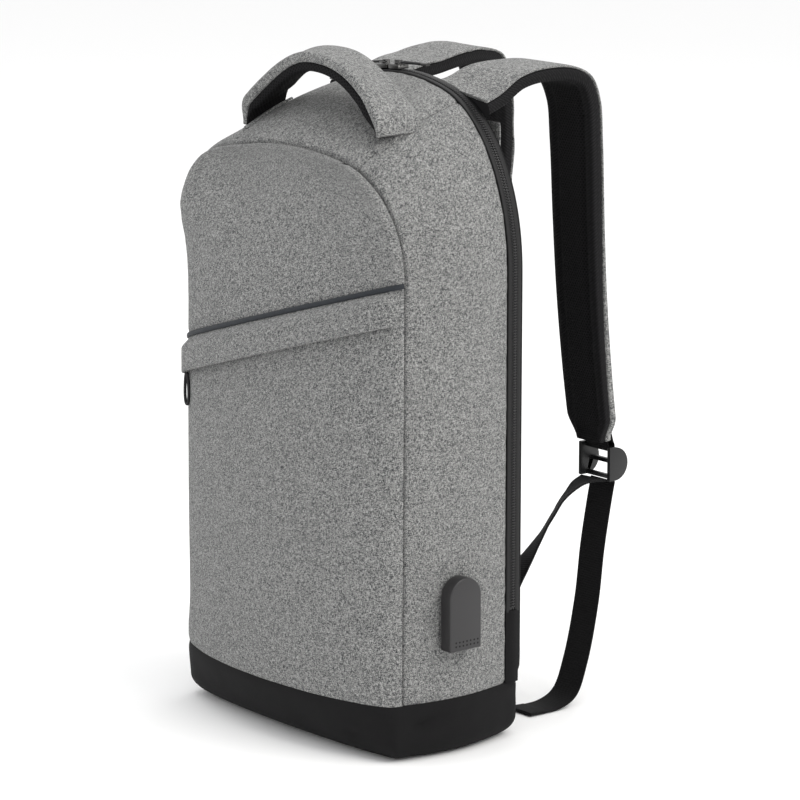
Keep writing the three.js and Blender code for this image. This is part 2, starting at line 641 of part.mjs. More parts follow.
// laptop sleeve: a padded box with an open top, on the inner face of the back panel
const SLEEVE_REAR = BACK_FRONT_Y - 2 * GAP - LINING;
const SLEEVE_FRONT = SLEEVE_REAR - SLEEVE.depth;
function laptopSleeve() {
  const outer = box(-SLEEVE.half, SLEEVE.half, SLEEVE_FRONT, SLEEVE_REAR, SLEEVE.low, SLEEVE.high);
  const room = box(-SLEEVE.half + SLEEVE.wall, SLEEVE.half - SLEEVE.wall, SLEEVE_FRONT + SLEEVE.wall,
    SLEEVE_REAR + 1, SLEEVE.low + SLEEVE.wall, SLEEVE.high + 1);
  return cut(outer, room);
}

add('laptop_sleeve', laptopSleeve(), lining);

// retaining strap: sewn to the lining above the sleeve and folded down over its front
function sleeveStrap() {
  const half = SLEEVE_STRAP.wide / 2;
  const top = SLEEVE.high + SLEEVE_STRAP.over;
  const front = SLEEVE_FRONT - GAP - SLEEVE_STRAP.thick;
  const lidLow = SLEEVE.high + SLEEVE_STRAP.above;
  const lidTop = lidLow + SLEEVE_STRAP.thick;
  const lid = box(-half, half, front, SLEEVE_REAR, lidLow, lidTop);
  const drop = box(-half, half, front, front + SLEEVE_STRAP.thick, SLEEVE.high - SLEEVE_STRAP.down, lidTop);
  const root = box(-half, half, SLEEVE_REAR - SLEEVE_STRAP.thick, SLEEVE_REAR, lidLow, top);
  return union(lid, drop, root);
}

add('sleeve_strap', sleeveStrap(), black);

// ---------- shoulder straps ----------
// centre line of a strap as it leaves the top of the back and turns down: x out, y back, z up
const STRAP_LINE = [[55, 64.4, 444], [55, 84, 452], [57, 108, 455], [60, 128, 452.5], [63, 141, 444],
  [66, 147, 427], [67.5, 149, 400], [69, 151, 345], [71, 154, 292], [73.5, 159, 240], [76, 165, 189]];

// a place on the right side of the harness, or the same on the left, which stands out further
function hang(side, [x, y, z]) {
  return side > 0 ? V(x, y, z) : V(-x, BACK_REAR_Y + (y - BACK_REAR_Y) * FULLER, z);
}

// width of a strap along its length
function strapWidth(t) {
  return t < 0.35 ? mix(STRAP.top, STRAP.mid, t / 0.35) : mix(STRAP.mid, STRAP.low, (t - 0.35) / 0.65);
}

// one layer of a strap between two depths below its outer face
function strapLayer(side, top, bottom, narrower) {
  const curve = new THREE.CatmullRomCurve3(STRAP_LINE.map((p) => hang(side, p)), false, 'centripetal');
  const rings = steps(22).map((t) => {
    const p = curve.getPointAt(t);
    const d = curve.getTangentAt(t);
    const n = V(0, -d.z, d.y).normalize();
    const w = strapWidth(t) / 2 - narrower - (t > 0.97 ? 8 : 0);
    const at = (x, h) => V(p.x + side * x, p.y - n.y * h, p.z - n.z * h);
    return [at(-w, top), at(w, top), at(w, bottom), at(-w, bottom)];
  });
  return loft(rings);
}

// ladder lock: two rounded cheeks joined by three bars
function ladderLock(side) {
  const { x: cx, y: cy, z: cz } = hang(side, [LOCK.x, LOCK.y, LOCK.z]);
  const half = LOCK.wide / 2;
  const cheek = (x0) => {
    const shape = new THREE.Shape();
    shape.absarc(0, 0, LOCK.radius, -Math.PI / 2, Math.PI / 2);
    shape.lineTo(-5, LOCK.radius);
    shape.lineTo(-5, -LOCK.radius);
    const how = { depth: LOCK.cheek, bevelEnabled: false, curveSegments: 8 };
    const geometry = new THREE.ExtrudeGeometry(shape, how);
    return geometry.rotateX(Math.PI / 2).rotateZ(Math.PI / 2).translate(x0, cy, cz);
  };
  const bar = (dy, dz) =>
    box(cx - half, cx + half, cy + dy, cy + dy + LOCK.bar, cz + dz, cz + dz + LOCK.bar);
  const bars = [bar(-1, LOCK.radius - LOCK.bar - 0.5), bar(3.5, -1.5), bar(-1, -LOCK.radius + 0.5)];
  return union(cheek(cx - half), cheek(cx + half - LOCK.cheek), ...bars);
}

// a ribbon of webbing along a list of points, its width turning between the given directions
function ribbon(points, across, thick, wide) {
  const curve = new THREE.CatmullRomCurve3(points, false, 'centripetal');
  const turn = new THREE.CatmullRomCurve3(across, false, 'centripetal');
  const rings = steps(18).map((t) => {
    const p = curve.getPoint(t);
    const d = curve.getTangent(t);
    const side = turn.getPoint(t);
    const b = side.sub(d.clone().multiplyScalar(side.dot(d))).normalize();
    const n = new THREE.Vector3().crossVectors(d, b).normalize();
    const at = (u, v) => p.clone().addScaledVector(b, u * wide / 2).addScaledVector(n, v * thick / 2);
    return [at(-1, 1), at(1, 1), at(1, -1), at(-1, -1)];
  });
  return loft(rings);
}

// the free tail hangs from the lock to the floor and lies along it; the lower run goes back to the bag
const TAIL_LINE = [[76, 168.5, 158.5], [76, 164.5, 140], [76, 159, 110], [76, 154, 72],
  [76, 144, 30], [76, 134, 8], [76, 120, 1.6], [76, 92, 1.6]];
const TAIL_ACROSS = TAIL_LINE.map(() => [1, 0, 0]);
const LOWER_LINE = [[76, 159.5, 160], [77, 146, 158], [78, 129, 149], [79, 114, 134],
  [80, 97, 117], [81, 80, 101], [82, 69.5, 86], [82, 68.7, 70]];
const LOWER_ACROSS = [[1, 0, 0], [0.9, -0.3, 0.3], [0.8, -0.35, 0.5], [0.8, -0.35, 0.5], [0.9, -0.3, 0.3],
  [1, -0.1, 0.1], [1, 0, 0], [1, 0, 0]];

for (const [hand, side] of hands) {
  const hung = (line) => line.map((p) => hang(side, p));
  const turned = (line) => line.map(([x, y, z]) => V(x, side * y, side * z));
  add(`strap_pad_${hand}`, strapLayer(side, 0, STRAP.shell, 0), cloth);
  const under = STRAP.shell + GAP;
  add(`strap_mesh_${hand}`, strapLayer(side, under, under + STRAP.mesh, 1), meshCloth);
  add(`ladder_lock_${hand}`, ladderLock(side), plastic);
  add(`webbing_tail_${hand}`, ribbon(hung(TAIL_LINE), turned(TAIL_ACROSS), WEB.thick, WEB.wide), black);
  add(`webbing_lower_${hand}`, ribbon(hung(LOWER_LINE), turned(LOWER_ACROSS), WEB.thick, WEB.wide), black);
  const tabX = side * TAB.x;
  add(`strap_tab_${hand}`, box(tabX - TAB.wide / 2, tabX + TAB.wide / 2, PAD_Y,
    PAD_Y + TAB.thick, TAB.z - TAB.high / 2, TAB.z + TAB.high / 2), black);
}

// ---------- USB port ----------
const usbV = (USB.y - GUSSET_FRONT_Y) / (GUSSET_REAR_Y - GUSSET_FRONT_Y);
const usbS = 3 - (USB.z - BAND_HEIGHT) / (FRONT.shoulder - BAND_HEIGHT);
const USB_X = gussetPoint(usbS, usbV, 0).x; // outer face of the side panel at the port

// outline of the housing seen from the side: a round head on straight sides
function tombstone(wide, high) {
  const shape = new THREE.Shape();
  const r = wide / 2;
  shape.moveTo(-r, -high / 2);
  shape.lineTo(r, -high / 2);
  shape.lineTo(r, high / 2 - r);
  shape.absarc(0, high / 2 - r, r, 0, Math.PI);
  return shape;
}

// an upright extrusion along X of an outline in Y and Z
function alongX(shape, x0, x1, y, z) {
  const how = { depth: x1 - x0, bevelEnabled: false, curveSegments: 10 };
  const geometry = new THREE.ExtrudeGeometry(shape, how);
  return geometry.rotateX(Math.PI / 2).rotateZ(Math.PI / 2).translate(x0, y, z);
}

const HOUSING_IN = USB_X + 1.4; // the housing's foot clears the curved panel
const SOCKET_X = HOUSING_IN + USB.proud / 2 - 0.6;
const SOCKET_LOW = USB.z - USB.high / 2;
function usbHousing() {
  const body = alongX(tombstone(USB.wide, USB.high), HOUSING_IN, HOUSING_IN + USB.proud, USB.y, USB.z);
  const slope = box(-30, 30, -20, 20, 0, 40);
  slope.rotateY(rad(58)).translate(HOUSING_IN + USB.proud + 16.2, USB.y, USB.z + 22);
  const halfT = SOCKET.thick / 2 + SOCKET.shell + GAP;
  const halfW = SOCKET.wide / 2 + SOCKET.shell + GAP;
  const [low, high] = [SOCKET_LOW - 1, SOCKET_LOW + SOCKET.deep + 1];
  const cavity = box(SOCKET_X - halfT, SOCKET_X + halfT, USB.y - halfW, USB.y + halfW, low, high);
  return cut(body, slope, cavity);
}

function usbReceptacle() {
  const halfT = SOCKET.thick / 2;
  const halfW = SOCKET.wide / 2;
  const t = SOCKET.shell;
  const low = SOCKET_LOW + 0.4;
  const block = (x, y, z0, z1) => box(SOCKET_X - x, SOCKET_X + x, USB.y - y, USB.y + y, z0, z1);
  const can = block(halfT + t, halfW + t, low, low + SOCKET.deep);
  const room = block(halfT, halfW, low - 1, low + SOCKET.deep - 1);
  return cut(can, room);
}

// the housing is clamped through the side panel by an inner plate and two screws
const PLATE_X = USB_X - WALL - 2.2;
function usbPlate() {
  return alongX(tombstone(USB.wide, USB.high), PLATE_X - 2, PLATE_X, USB.y, USB.z);
}

add('usb_housing', usbHousing(), plastic);
add('usb_receptacle', usbReceptacle(), steel);
add('usb_plate', usbPlate(), plastic);

// the port sits on the right side panel
add('gusset_right', sidePanel(1), cloth);

export default pack;
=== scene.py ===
"""Looks of a slim laptop backpack, built round its packed frame. Lengths are in metres.

The bag stands on its base at the origin. +Z is up, the front pocket faces -Y and the harness is on +Y.
"""
import math
from types import SimpleNamespace

import bmesh
import bpy
import numpy as np
from bpy.props import FloatProperty, FloatVectorProperty, PointerProperty
from bpy.types import Operator, Panel, PropertyGroup
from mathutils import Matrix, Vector, noise


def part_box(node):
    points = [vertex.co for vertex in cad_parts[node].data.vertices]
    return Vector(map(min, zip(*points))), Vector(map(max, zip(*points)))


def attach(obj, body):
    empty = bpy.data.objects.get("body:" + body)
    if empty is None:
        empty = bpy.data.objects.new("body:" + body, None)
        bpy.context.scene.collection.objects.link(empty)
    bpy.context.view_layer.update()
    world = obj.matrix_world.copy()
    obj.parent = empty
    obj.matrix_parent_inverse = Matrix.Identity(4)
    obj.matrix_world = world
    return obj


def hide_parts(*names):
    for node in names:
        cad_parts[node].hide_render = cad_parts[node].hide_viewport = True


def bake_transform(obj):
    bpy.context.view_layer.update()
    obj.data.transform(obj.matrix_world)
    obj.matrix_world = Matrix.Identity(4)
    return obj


bl_info = {
    "name": "Laptop Backpack",
    "version": (1, 0, 0),
    "blender": (4, 5, 0),
    "location": "View3D > Sidebar > Backpack",
    "description": "Builds the cloth, zips, straps and trim of a slim laptop backpack",
    "category": "Object",
}

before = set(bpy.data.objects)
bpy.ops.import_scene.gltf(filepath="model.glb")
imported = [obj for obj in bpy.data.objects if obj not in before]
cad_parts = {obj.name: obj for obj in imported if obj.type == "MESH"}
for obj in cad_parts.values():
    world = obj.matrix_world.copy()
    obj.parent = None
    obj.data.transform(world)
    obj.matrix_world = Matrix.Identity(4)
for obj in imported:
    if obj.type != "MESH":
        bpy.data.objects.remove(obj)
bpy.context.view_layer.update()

# ---------- shape of the bag ----------
# half widths at the base and above it, height of the crown, its radius and half length, shoulder height
FRONT = SimpleNamespace(base=0.1165, half=0.119, top=0.407, crown=0.300, flat=0.055, shoulder=0.330)
REAR = SimpleNamespace(base=0.117, half=0.1175, top=0.450, crown=0.175, flat=0.050, shoulder=0.325)
SEAM_Y = -0.048  # plane of the front seam
ZIP_Y = 0.049  # plane of the main zip
PANEL_FRONT_Y, PANEL_REAR_Y = -0.0477, 0.0434
WALL = 0.004
SIDE_BULGE, TOP_BULGE, FRONT_BULGE = 0.007, 0.008, 0.028
SEAM_S = 1.13  # where the side panels meet the top panel, along the arch
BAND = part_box("base_band")[1].z
BAND_ROUND, BAND_TUCK, BAND_WALL = 0.014, 0.019, 0.003
BACK_Y0, BACK_Y1 = (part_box("back_panel")[k].y for k in (0, 1))
BACK_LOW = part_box("back_panel")[0].z
BACK_INSETS = ((0, 0.003), (0.4, 0.006), (0.75, 0.012), (1, 0.019))
SPINE = (0.11, 0.35)  # lowest and highest place of the back panel's middle line
ZIP_END = 0.090  # height of the zip's two stops
PIPING = SimpleNamespace(mid=0.2932, slope=0.287, wide=0.0036)
PLACKET_HIGH = 0.026
POCKET_DROP = 0.012
HANDLE = SimpleNamespace(half=0.075, low=0.4235, high=0.4618, y=-0.015, wide=0.038, apex=-0.004,
                         lean=(0.42, 0.25))
FULLER = 1.3  # the left strap stands out further than the right one

# routes on the right side of the harness: x out, y back, z up
STRAP_LINE = ((0.055, 0.0644, 0.4448), (0.055, 0.084, 0.4535), (0.057, 0.108, 0.4568), (0.060, 0.130, 0.4555),
              (0.063, 0.1445, 0.448), (0.066, 0.151, 0.431), (0.0675, 0.153, 0.400), (0.069, 0.1545, 0.345),
              (0.071, 0.1565, 0.292), (0.0735, 0.160, 0.240), (0.076, 0.165, 0.189))
TAIL_LINE = ((0.076, 0.1685, 0.1585), (0.076, 0.1645, 0.140), (0.076, 0.159, 0.110), (0.076, 0.154, 0.072),
             (0.076, 0.144, 0.030), (0.076, 0.134, 0.008), (0.076, 0.120, 0.0016), (0.076, 0.092, 0.0016))
LOWER_LINE = ((0.076, 0.1595, 0.160), (0.077, 0.146, 0.158), (0.078, 0.129, 0.149), (0.079, 0.114, 0.134),
              (0.080, 0.097, 0.117), (0.081, 0.080, 0.101), (0.082, 0.0695, 0.086), (0.082, 0.0687, 0.070))
LOWER_ACROSS = ((1, 0, 0), (0.9, -0.3, 0.3), (0.8, -0.35, 0.5), (0.8, -0.35, 0.5), (0.9, -0.3, 0.3),
                (1, -0.1, 0.1), (1, 0, 0), (1, 0, 0))
WEB_WIDE, WEB_THICK = 0.025, 0.0016
HANDS = (("left", -1), ("right", 1))


def mix(a, b, t):
    return a + (b - a) * t


def smooth(t, low=0.0, high=1.0):
    """0 below low, 1 above high, and an even ease between them."""
    t = min(max((t - low) / (high - low), 0), 1)
    return t * t * (3 - 2 * t)


def corner_of(o):
    """Turn, half axes and upper height of the elliptic corner of an arch."""
    level = math.sqrt(o.crown ** 2 - o.flat ** 2)
    drop, slope = o.crown - level, o.flat / level
    wide, high = o.half - o.flat, o.top - drop - o.shoulder
    q = slope * wide / high
    turn = math.acos(q / (1 - q))
    return turn, wide / (1 - math.cos(turn)), high / math.sin(turn), o.top - drop


CORNERS = {id(o): corner_of(o) for o in (FRONT, REAR)}


def arch(o, s, low=BAND):
    """x and z of a place round an arch: -3 to -2 is the left side, -1 to 1 the top, 2 to 3 the right side."""
    a, side = abs(s), -1 if s < 0 else 1
    if a <= 1:
        x = a * o.flat
        return side * x, o.top - o.crown + math.sqrt(o.crown ** 2 - x * x)
    turn, rx, rz, _ = CORNERS[id(o)]
    if a <= 2:
        angle = (2 - a) * turn
        return side * (o.half - rx + rx * math.cos(angle)), o.shoulder + rz * math.sin(angle)
    t = a - 2
    return side * mix(o.half, o.base, t), mix(o.shoulder, low, t)


def arch_normal(o, s, low=BAND):
    """Outward direction across an arch, as (x, z)."""
    e = 1e-3
    (x0, z0), (x1, z1) = arch(o, s - e, low), arch(o, s + e, low)
    n = np.array([z1 - z0, x0 - x1])
    n /= np.linalg.norm(n)
    x, z = arch(o, s, low)
    return -n if n[0] * x + n[1] * (z - o.top / 2) < 0 else n


def gusset_point(s, v, out=0.0):
    """A point on the side and top panels: s round the arch, v from the front seam to the zip."""
    f, r = arch(FRONT, s), arch(REAR, s)
    topness = min(max(2 - abs(s), 0), 1)
    swell = mix(SIDE_BULGE * math.sin(math.pi * v), TOP_BULGE * math.sin(math.pi * v ** 0.75), topness)
    n = mix(arch_normal(FRONT, s), arch_normal(REAR, s), v)
    n = n / np.linalg.norm(n)
    d = swell + out
    x, z = mix(f[0], r[0], v), mix(f[1], r[1], v)
    return np.array([x + n[0] * d, mix(PANEL_FRONT_Y, PANEL_REAR_Y, v), z + n[1] * d])


def slump(p):
    """Where a point of the grey cloth lies once the packed left shoulder has filled out."""
    x, y, z = p
    depth = 1 - smooth(y, -0.040, 0.032)
    out = 0.0115 * math.exp(-((z - 0.366) / 0.036) ** 2) * smooth(-x, 0.045, 0.105) * depth
    up = 0.0055 * math.exp(-((z - 0.386) / 0.020) ** 2) * smooth(-x, 0.050, 0.095) * depth
    if x < 0:
        tall = smooth(z, 0.045, 0.085) * (1 - smooth(z, 0.325, 0.36)) * smooth(-x, 0.085, 0.105)
        back = max(y - SEAM_Y, 0)
        edge = back / 0.0035 if back > 0.0005 else (front_half(z) + x) / 0.011
        puff = 0.0042 * (1 - math.exp(-((back / 0.004) ** 2))) * (1 - smooth(back, 0.008, 0.055))
        out += tall * (puff - 0.0045 * math.exp(-edge * edge))
    return np.array([x - out, y, z + up])


def front_half(z):
    """Half width of the front seam at a height."""
    if z <= FRONT.shoulder:
        return mix(FRONT.base, FRONT.half, (z - BAND) / (FRONT.shoulder - BAND))
    _, rx, rz, low = CORNERS[id(FRONT)]
    if z > low - 0.001:
        return FRONT.flat
    return FRONT.half - rx + rx * math.sqrt(max(1 - ((z - FRONT.shoulder) / rz) ** 2, 0))


def front_top(s):
    x = abs(s) * FRONT.flat
    return FRONT.top - FRONT.crown + math.sqrt(FRONT.crown ** 2 - x * x)


def front_swell(s, z):
    """How far the front swells forward."""
    fade = 1 - min(max((z - BAND) / (FRONT.top - BAND), 0), 1) ** 3
    return FRONT_BULGE * fade * max(0, 1 - s * s) ** 0.6


def slant(s, drop=0.0):
    """Height of the slanted pocket line across the front."""
    return PIPING.mid + PIPING.slope * s * FRONT.half - drop


def rounded_edge(d, reach):
    """0 at an edge, rising like a quarter circle to 1 at a reach from it."""
    return math.sqrt(max(1 - (1 - min(d / reach, 1)) ** 2, 0))


def ripple(p, size, seed=0.0):
    """Soft random swelling, from -1 to 1, with lumps of a size."""
    return noise.noise(Vector(p) / size + Vector((seed, seed * 0.37, -seed)))


def even(line, count, low, high):
    """count+1 parameters between low and high that space points evenly along a line."""
    t = np.linspace(low, high, 401)
    p = np.array([line(x) for x in t])
    run = np.concatenate([[0], np.cumsum(np.linalg.norm(np.diff(p, axis=0), axis=1))])
    return np.interp(np.linspace(0, run[-1], count + 1), run, t)


def ease_both(count):
    """count+1 shares from 0 to 1, closer together at both ends."""
    return (1 - np.cos(np.linspace(0, math.pi, count + 1))) / 2


def centripetal(points, count):
    """count+1 points evenly spaced along a centripetal Catmull-Rom curve."""
    p = np.array(points, float)
    last = len(p) - 1
    fine = []
    for k in range(last):
        before = 2 * p[0] - p[1] if k == 0 else p[k - 1]
        after = 2 * p[last] - p[last - 1] if k == last - 1 else p[k + 2]
        q = [before, p[k], p[k + 1], after]
        d = [max(np.linalg.norm(q[i + 1] - q[i]), 1e-9) ** 0.5 for i in range(3)]
        t1 = ((q[1] - q[0]) / d[0] - (q[2] - q[0]) / (d[0] + d[1]) + (q[2] - q[1]) / d[1]) * d[1]
        t2 = ((q[2] - q[1]) / d[1] - (q[3] - q[1]) / (d[1] + d[2]) + (q[3] - q[2]) / d[2]) * d[1]
        for t in np.linspace(0, 1, 41)[(k > 0):]:
            a, b = -3 * q[1] + 3 * q[2] - 2 * t1 - t2, 2 * q[1] - 2 * q[2] + t1 + t2
            fine.append(q[1] + t1 * t + a * t * t + b * t ** 3)
    fine = np.array(fine)
    run = np.concatenate([[0], np.cumsum(np.linalg.norm(np.diff(fine, axis=0), axis=1))])
    at = np.linspace(0, run[-1], count + 1)
    return np.stack([np.interp(at, run, fine[:, c]) for c in range(3)], axis=1)


def hang(side, points):
    """The same route on the right side, or on the left, where it stands out further."""
    p = np.array(points, float)
    if side < 0:
        p[:, 0] *= -1
        p[:, 1] = BACK_Y1 + (p[:, 1] - BACK_Y1) * FULLER
    return p


def unit(v):
    return v / np.maximum(np.linalg.norm(v, axis=-1, keepdims=True), 1e-12)


def grid_normals(pts):
    """Unit normals of a grid of points."""
    return unit(np.cross(np.gradient(pts, axis=0), np.gradient(pts, axis=1)))


# ---------- meshes ----------
def make_piece(name, verts, faces, uvs, slots, materials):
    """A mesh object with its UV map, its faces turned outwards."""
    verts = np.asarray(verts, float)
    volume = 0.0
    for f in faces:
        a = verts[f[0]]
        for k in range(1, len(f) - 1):
            volume += np.dot(a, np.cross(verts[f[k]], verts[f[k + 1]]))
    if volume < 0:
        faces = [f[::-1] for f in faces]
        uvs = [u[::-1] for u in uvs]
    mesh = bpy.data.meshes.new(name)
    mesh.from_pydata([tuple(v) for v in verts], [], faces)
    layer = mesh.uv_layers.new(name="cloth")
    layer.data.foreach_set("uv", np.array([c for u in uvs for p in u for c in p], np.float32))
    for m in materials:
        mesh.materials.append(m)
    mesh.polygons.foreach_set("material_index", slots)
    mesh.polygons.foreach_set("use_smooth", [True] * len(faces))
    mesh.set_sharp_from_angle(angle=math.radians(55))
    mesh.update()
    obj = bpy.data.objects.new(name, mesh)
    bpy.context.scene.collection.objects.link(obj)
    return obj


def arc_uv(pts, around):
    """UV in metres along a grid, measured along its middle row and column."""
    n, m = pts.shape[:2]
    row = pts[n // 2]
    if around:
        row = np.concatenate([row, row[:1]])
    u = np.concatenate([[0], np.cumsum(np.linalg.norm(np.diff(row, axis=0), axis=1))])
    v = np.concatenate([[0], np.cumsum(np.linalg.norm(np.diff(pts, axis=0), axis=2).mean(axis=1))])
    return np.stack(np.meshgrid(u, v), axis=2)


def lattice(name, pts, materials, around=False, inner=None, caps=False, uv=None, inner_slot=0, pick=None):
    """A closed piece: a wall between two grids of points, or a bar through rings.
    pick(i, j) gives the material slot of an outer face."""
    pts = np.asarray(pts, float)
    n, m = pts.shape[:2]
    layers = [pts] if inner is None else [pts, np.asarray(inner, float)]
    verts = np.concatenate([layer.reshape(-1, 3) for layer in layers])
    uv = arc_uv(pts, around) if uv is None else uv
    span = m if around else m - 1
    faces, uvs, slots = [], [], []

    def put(corners, slot):
        faces.append([k * n * m + i * m + j % m for k, i, j in corners])
        uvs.append([tuple(uv[i][j]) for _, i, j in corners])
        slots.append(slot)

    for k in range(len(layers)):
        for i in range(n - 1):
            for j in range(span):
                quad = [(k, i, j), (k, i, j + 1), (k, i + 1, j + 1), (k, i + 1, j)]
                put(quad[::-1] if k else quad, inner_slot if k else pick(i, j) if pick else 0)
    if inner is not None:
        for j in range(span):
            put([(0, 0, j + 1), (0, 0, j), (1, 0, j), (1, 0, j + 1)], 0)
            put([(0, n - 1, j), (0, n - 1, j + 1), (1, n - 1, j + 1), (1, n - 1, j)], 0)
        if not around:
            for i in range(n - 1):
                put([(0, i, 0), (0, i + 1, 0), (1, i + 1, 0), (1, i, 0)], 0)
                put([(0, i + 1, m - 1), (0, i, m - 1), (1, i, m - 1), (1, i + 1, m - 1)], 0)
    if caps:
        put([(0, 0, j) for j in range(m)][::-1], 0)
        put([(0, n - 1, j) for j in range(m)], 0)
    return make_piece(name, verts, faces, uvs, slots, materials)


def oval(half, low, high, count=28, square=0.45, flat=0.65):
    """A ring of (across, up) round a padded section."""
    ring = []
    for k in range(count):
        a = 2 * math.pi * (k + 0.5) / count
        c, s = math.cos(a), math.sin(a)
        up = math.copysign(abs(s) ** flat, s)
        ring.append((half * math.copysign(abs(c) ** square, c), (low + high) / 2 + (high - low) / 2 * up))
    return ring


def sweep(name, path, sides, ups, ring, materials, **more):
    """A bar along a path; ring(t) gives its section as (across, up) at a share of the way."""
    last = len(path) - 1
    rows = [[p + s * a + u * d for a, d in ring(k / last)]
            for k, (p, s, u) in enumerate(zip(path, sides, ups))]
    return lattice(name, rows, materials, around=True, caps=True, **more)


def tube(name, path, radius, materials, count=10):
    """A round cord along a path."""
    path = np.asarray(path, float)
    along = unit(np.gradient(path, axis=0))
    side = unit(np.cross(along, np.array([0.13, 0.97, 0.21])))
    up = np.cross(along, side)
    turns = np.linspace(0, 2 * math.pi, count, endpoint=False)
    ring = [(radius * math.cos(a), radius * math.sin(a)) for a in turns]
    return sweep(name, path, side, up, lambda t: ring, materials)


def rounded_copy(node, name, material, width, segments=3, shift=None):
    """A copy of a hard CAD piece with its edges rounded, which stands for it."""
    mesh = bpy.data.meshes.new(name)
    bm = bmesh.new()
    bm.from_mesh(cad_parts[node].data)
    bmesh.ops.remove_doubles(bm, verts=bm.verts, dist=1e-6)
    bmesh.ops.dissolve_limit(bm, angle_limit=math.radians(1), verts=bm.verts, edges=bm.edges)
    sharp = [e for e in bm.edges if len(e.link_faces) == 2 and e.calc_face_angle(0) > math.radians(25)]
    bmesh.ops.bevel(bm, geom=sharp, offset=width, segments=segments, profile=0.5, affect="EDGES",
                    clamp_overlap=True)
    bmesh.ops.triangulate(bm, faces=[f for f in bm.faces if len(f.verts) > 4])
    if shift:
        bmesh.ops.translate(bm, verts=bm.verts, vec=shift)
    for f in bm.faces:
        f.smooth = True
    bm.to_mesh(mesh)
    bm.free()
    mesh.materials.clear()
    mesh.materials.append(material)
    mesh.set_sharp_from_angle(angle=math.radians(40))
    obj = bpy.data.objects.new(name, mesh)
    bpy.context.scene.collection.objects.link(obj)
    return obj


def settle(obj, body, nodes=()):
    """The piece moves with a body, takes its finish from a slot and stands for the CAD nodes."""
    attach(obj, body)
    if nodes:
        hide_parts(*nodes)
    return obj


def bake_modifiers(obj):
    """Turns what the modifiers give into the object's plain mesh."""
    bpy.context.view_layer.update()
    graph = bpy.context.evaluated_depsgraph_get()
    mesh = bpy.data.meshes.new_from_object(obj.evaluated_get(graph), preserve_all_data_layers=True,
                                           depsgraph=graph)
    obj.modifiers.clear()
    obj.data = mesh
    return obj


# ---------- rows of small things ----------
def row_tree(name, sizes, item):
    """A Geometry Nodes tree that sets copies of an item at an even pitch along each edge line."""
    tree = bpy.data.node_groups.get(name)
    if tree:
        return tree
    tree = bpy.data.node_groups.new(name, "GeometryNodeTree")
    face = tree.interface
    face.new_socket("Line", in_out="INPUT", socket_type="NodeSocketGeometry")
    for label, value in sizes.items():
        socket = face.new_socket(label, in_out="INPUT", socket_type="NodeSocketFloat")
        socket.default_value = value
    face.new_socket("Material", in_out="INPUT", socket_type="NodeSocketMaterial")
    face.new_socket("Mesh", in_out="OUTPUT", socket_type="NodeSocketGeometry")
    node, link = tree.nodes.new, tree.links.new
    start, end = node("NodeGroupInput"), node("NodeGroupOutput")
    curve, points = node("GeometryNodeMeshToCurve"), node("GeometryNodeCurveToPoints")
    points.mode = "LENGTH"
    link(start.outputs["Line"], curve.inputs["Mesh"])
    link(curve.outputs["Curve"], points.inputs["Curve"])
    link(start.outputs["Pitch"], points.inputs["Length"])
    turn = node("FunctionNodeAlignRotationToVector")
    turn.axis = "X"
    turn.pivot_axis = "Y" if "tooth" in name else "AUTO"
    link(points.outputs["Tangent"], turn.inputs["Vector"])
    shape = item(tree, start)
    copies = node("GeometryNodeInstanceOnPoints")
    link(points.outputs["Points"], copies.inputs["Points"])
    link(shape, copies.inputs["Instance"])
    link(turn.outputs["Rotation"], copies.inputs["Rotation"])
    real, even_shade = node("GeometryNodeRealizeInstances"), node("GeometryNodeSetShadeSmooth")
    last = node("GeometryNodeSetMaterial")
    link(copies.outputs["Instances"], real.inputs["Geometry"])
    link(real.outputs["Geometry"], even_shade.inputs["Geometry"])
    link(even_shade.outputs["Geometry"], last.inputs["Geometry"])
    link(start.outputs["Material"], last.inputs["Material"])
    link(last.outputs["Geometry"], end.inputs["Mesh"])
    return tree


def bead(tree, start):
    """A small rounded bar whose size comes from the tree's Long, Wide and High inputs."""
    node, link = tree.nodes.new, tree.links.new
    ball, size = node("GeometryNodeMeshUVSphere"), node("ShaderNodeCombineXYZ")
    ball.inputs["Segments"].default_value = 8
    ball.inputs["Rings"].default_value = 5
    ball.inputs["Radius"].default_value = 0.5
    for axis, label in zip("XYZ", ("Long", "Wide", "High")):
        link(start.outputs[label], size.inputs[axis])
    stretch = node("GeometryNodeTransform")
    link(ball.outputs["Mesh"], stretch.inputs["Geometry"])
    link(size.outputs["Vector"], stretch.inputs["Scale"])
    return stretch.outputs["Geometry"]


def row(name, kind, lines, material, **sizes):
    """A finished row of stitches, teeth or dots along lines of points."""
    defaults = {"Pitch": 0.003, "Long": 0.0022, "Wide": 0.0006, "High": 0.0005}
    tree = row_tree(kind, defaults, bead)
    verts = [tuple(p) for line in lines for p in line]
    edges, start = [], 0
    for line in lines:
        edges += [(start + k, start + k + 1) for k in range(len(line) - 1)]
        start += len(line)
    mesh = bpy.data.meshes.new(name)
    mesh.from_pydata(verts, edges, [])
    obj = bpy.data.objects.new(name, mesh)
    bpy.context.scene.collection.objects.link(obj)
    modifier = obj.modifiers.new("row", "NODES")
    modifier.node_group = tree
    for item in tree.interface.items_tree:
        if item.in_out == "INPUT" and item.name in sizes:
            modifier[item.identifier] = sizes[item.name]
        if item.in_out == "INPUT" and item.name == "Material":
            modifier[item.identifier] = material
    bake_modifiers(obj)
    if not obj.data.materials:
        obj.data.materials.append(material)
    obj.data.update()
    return obj


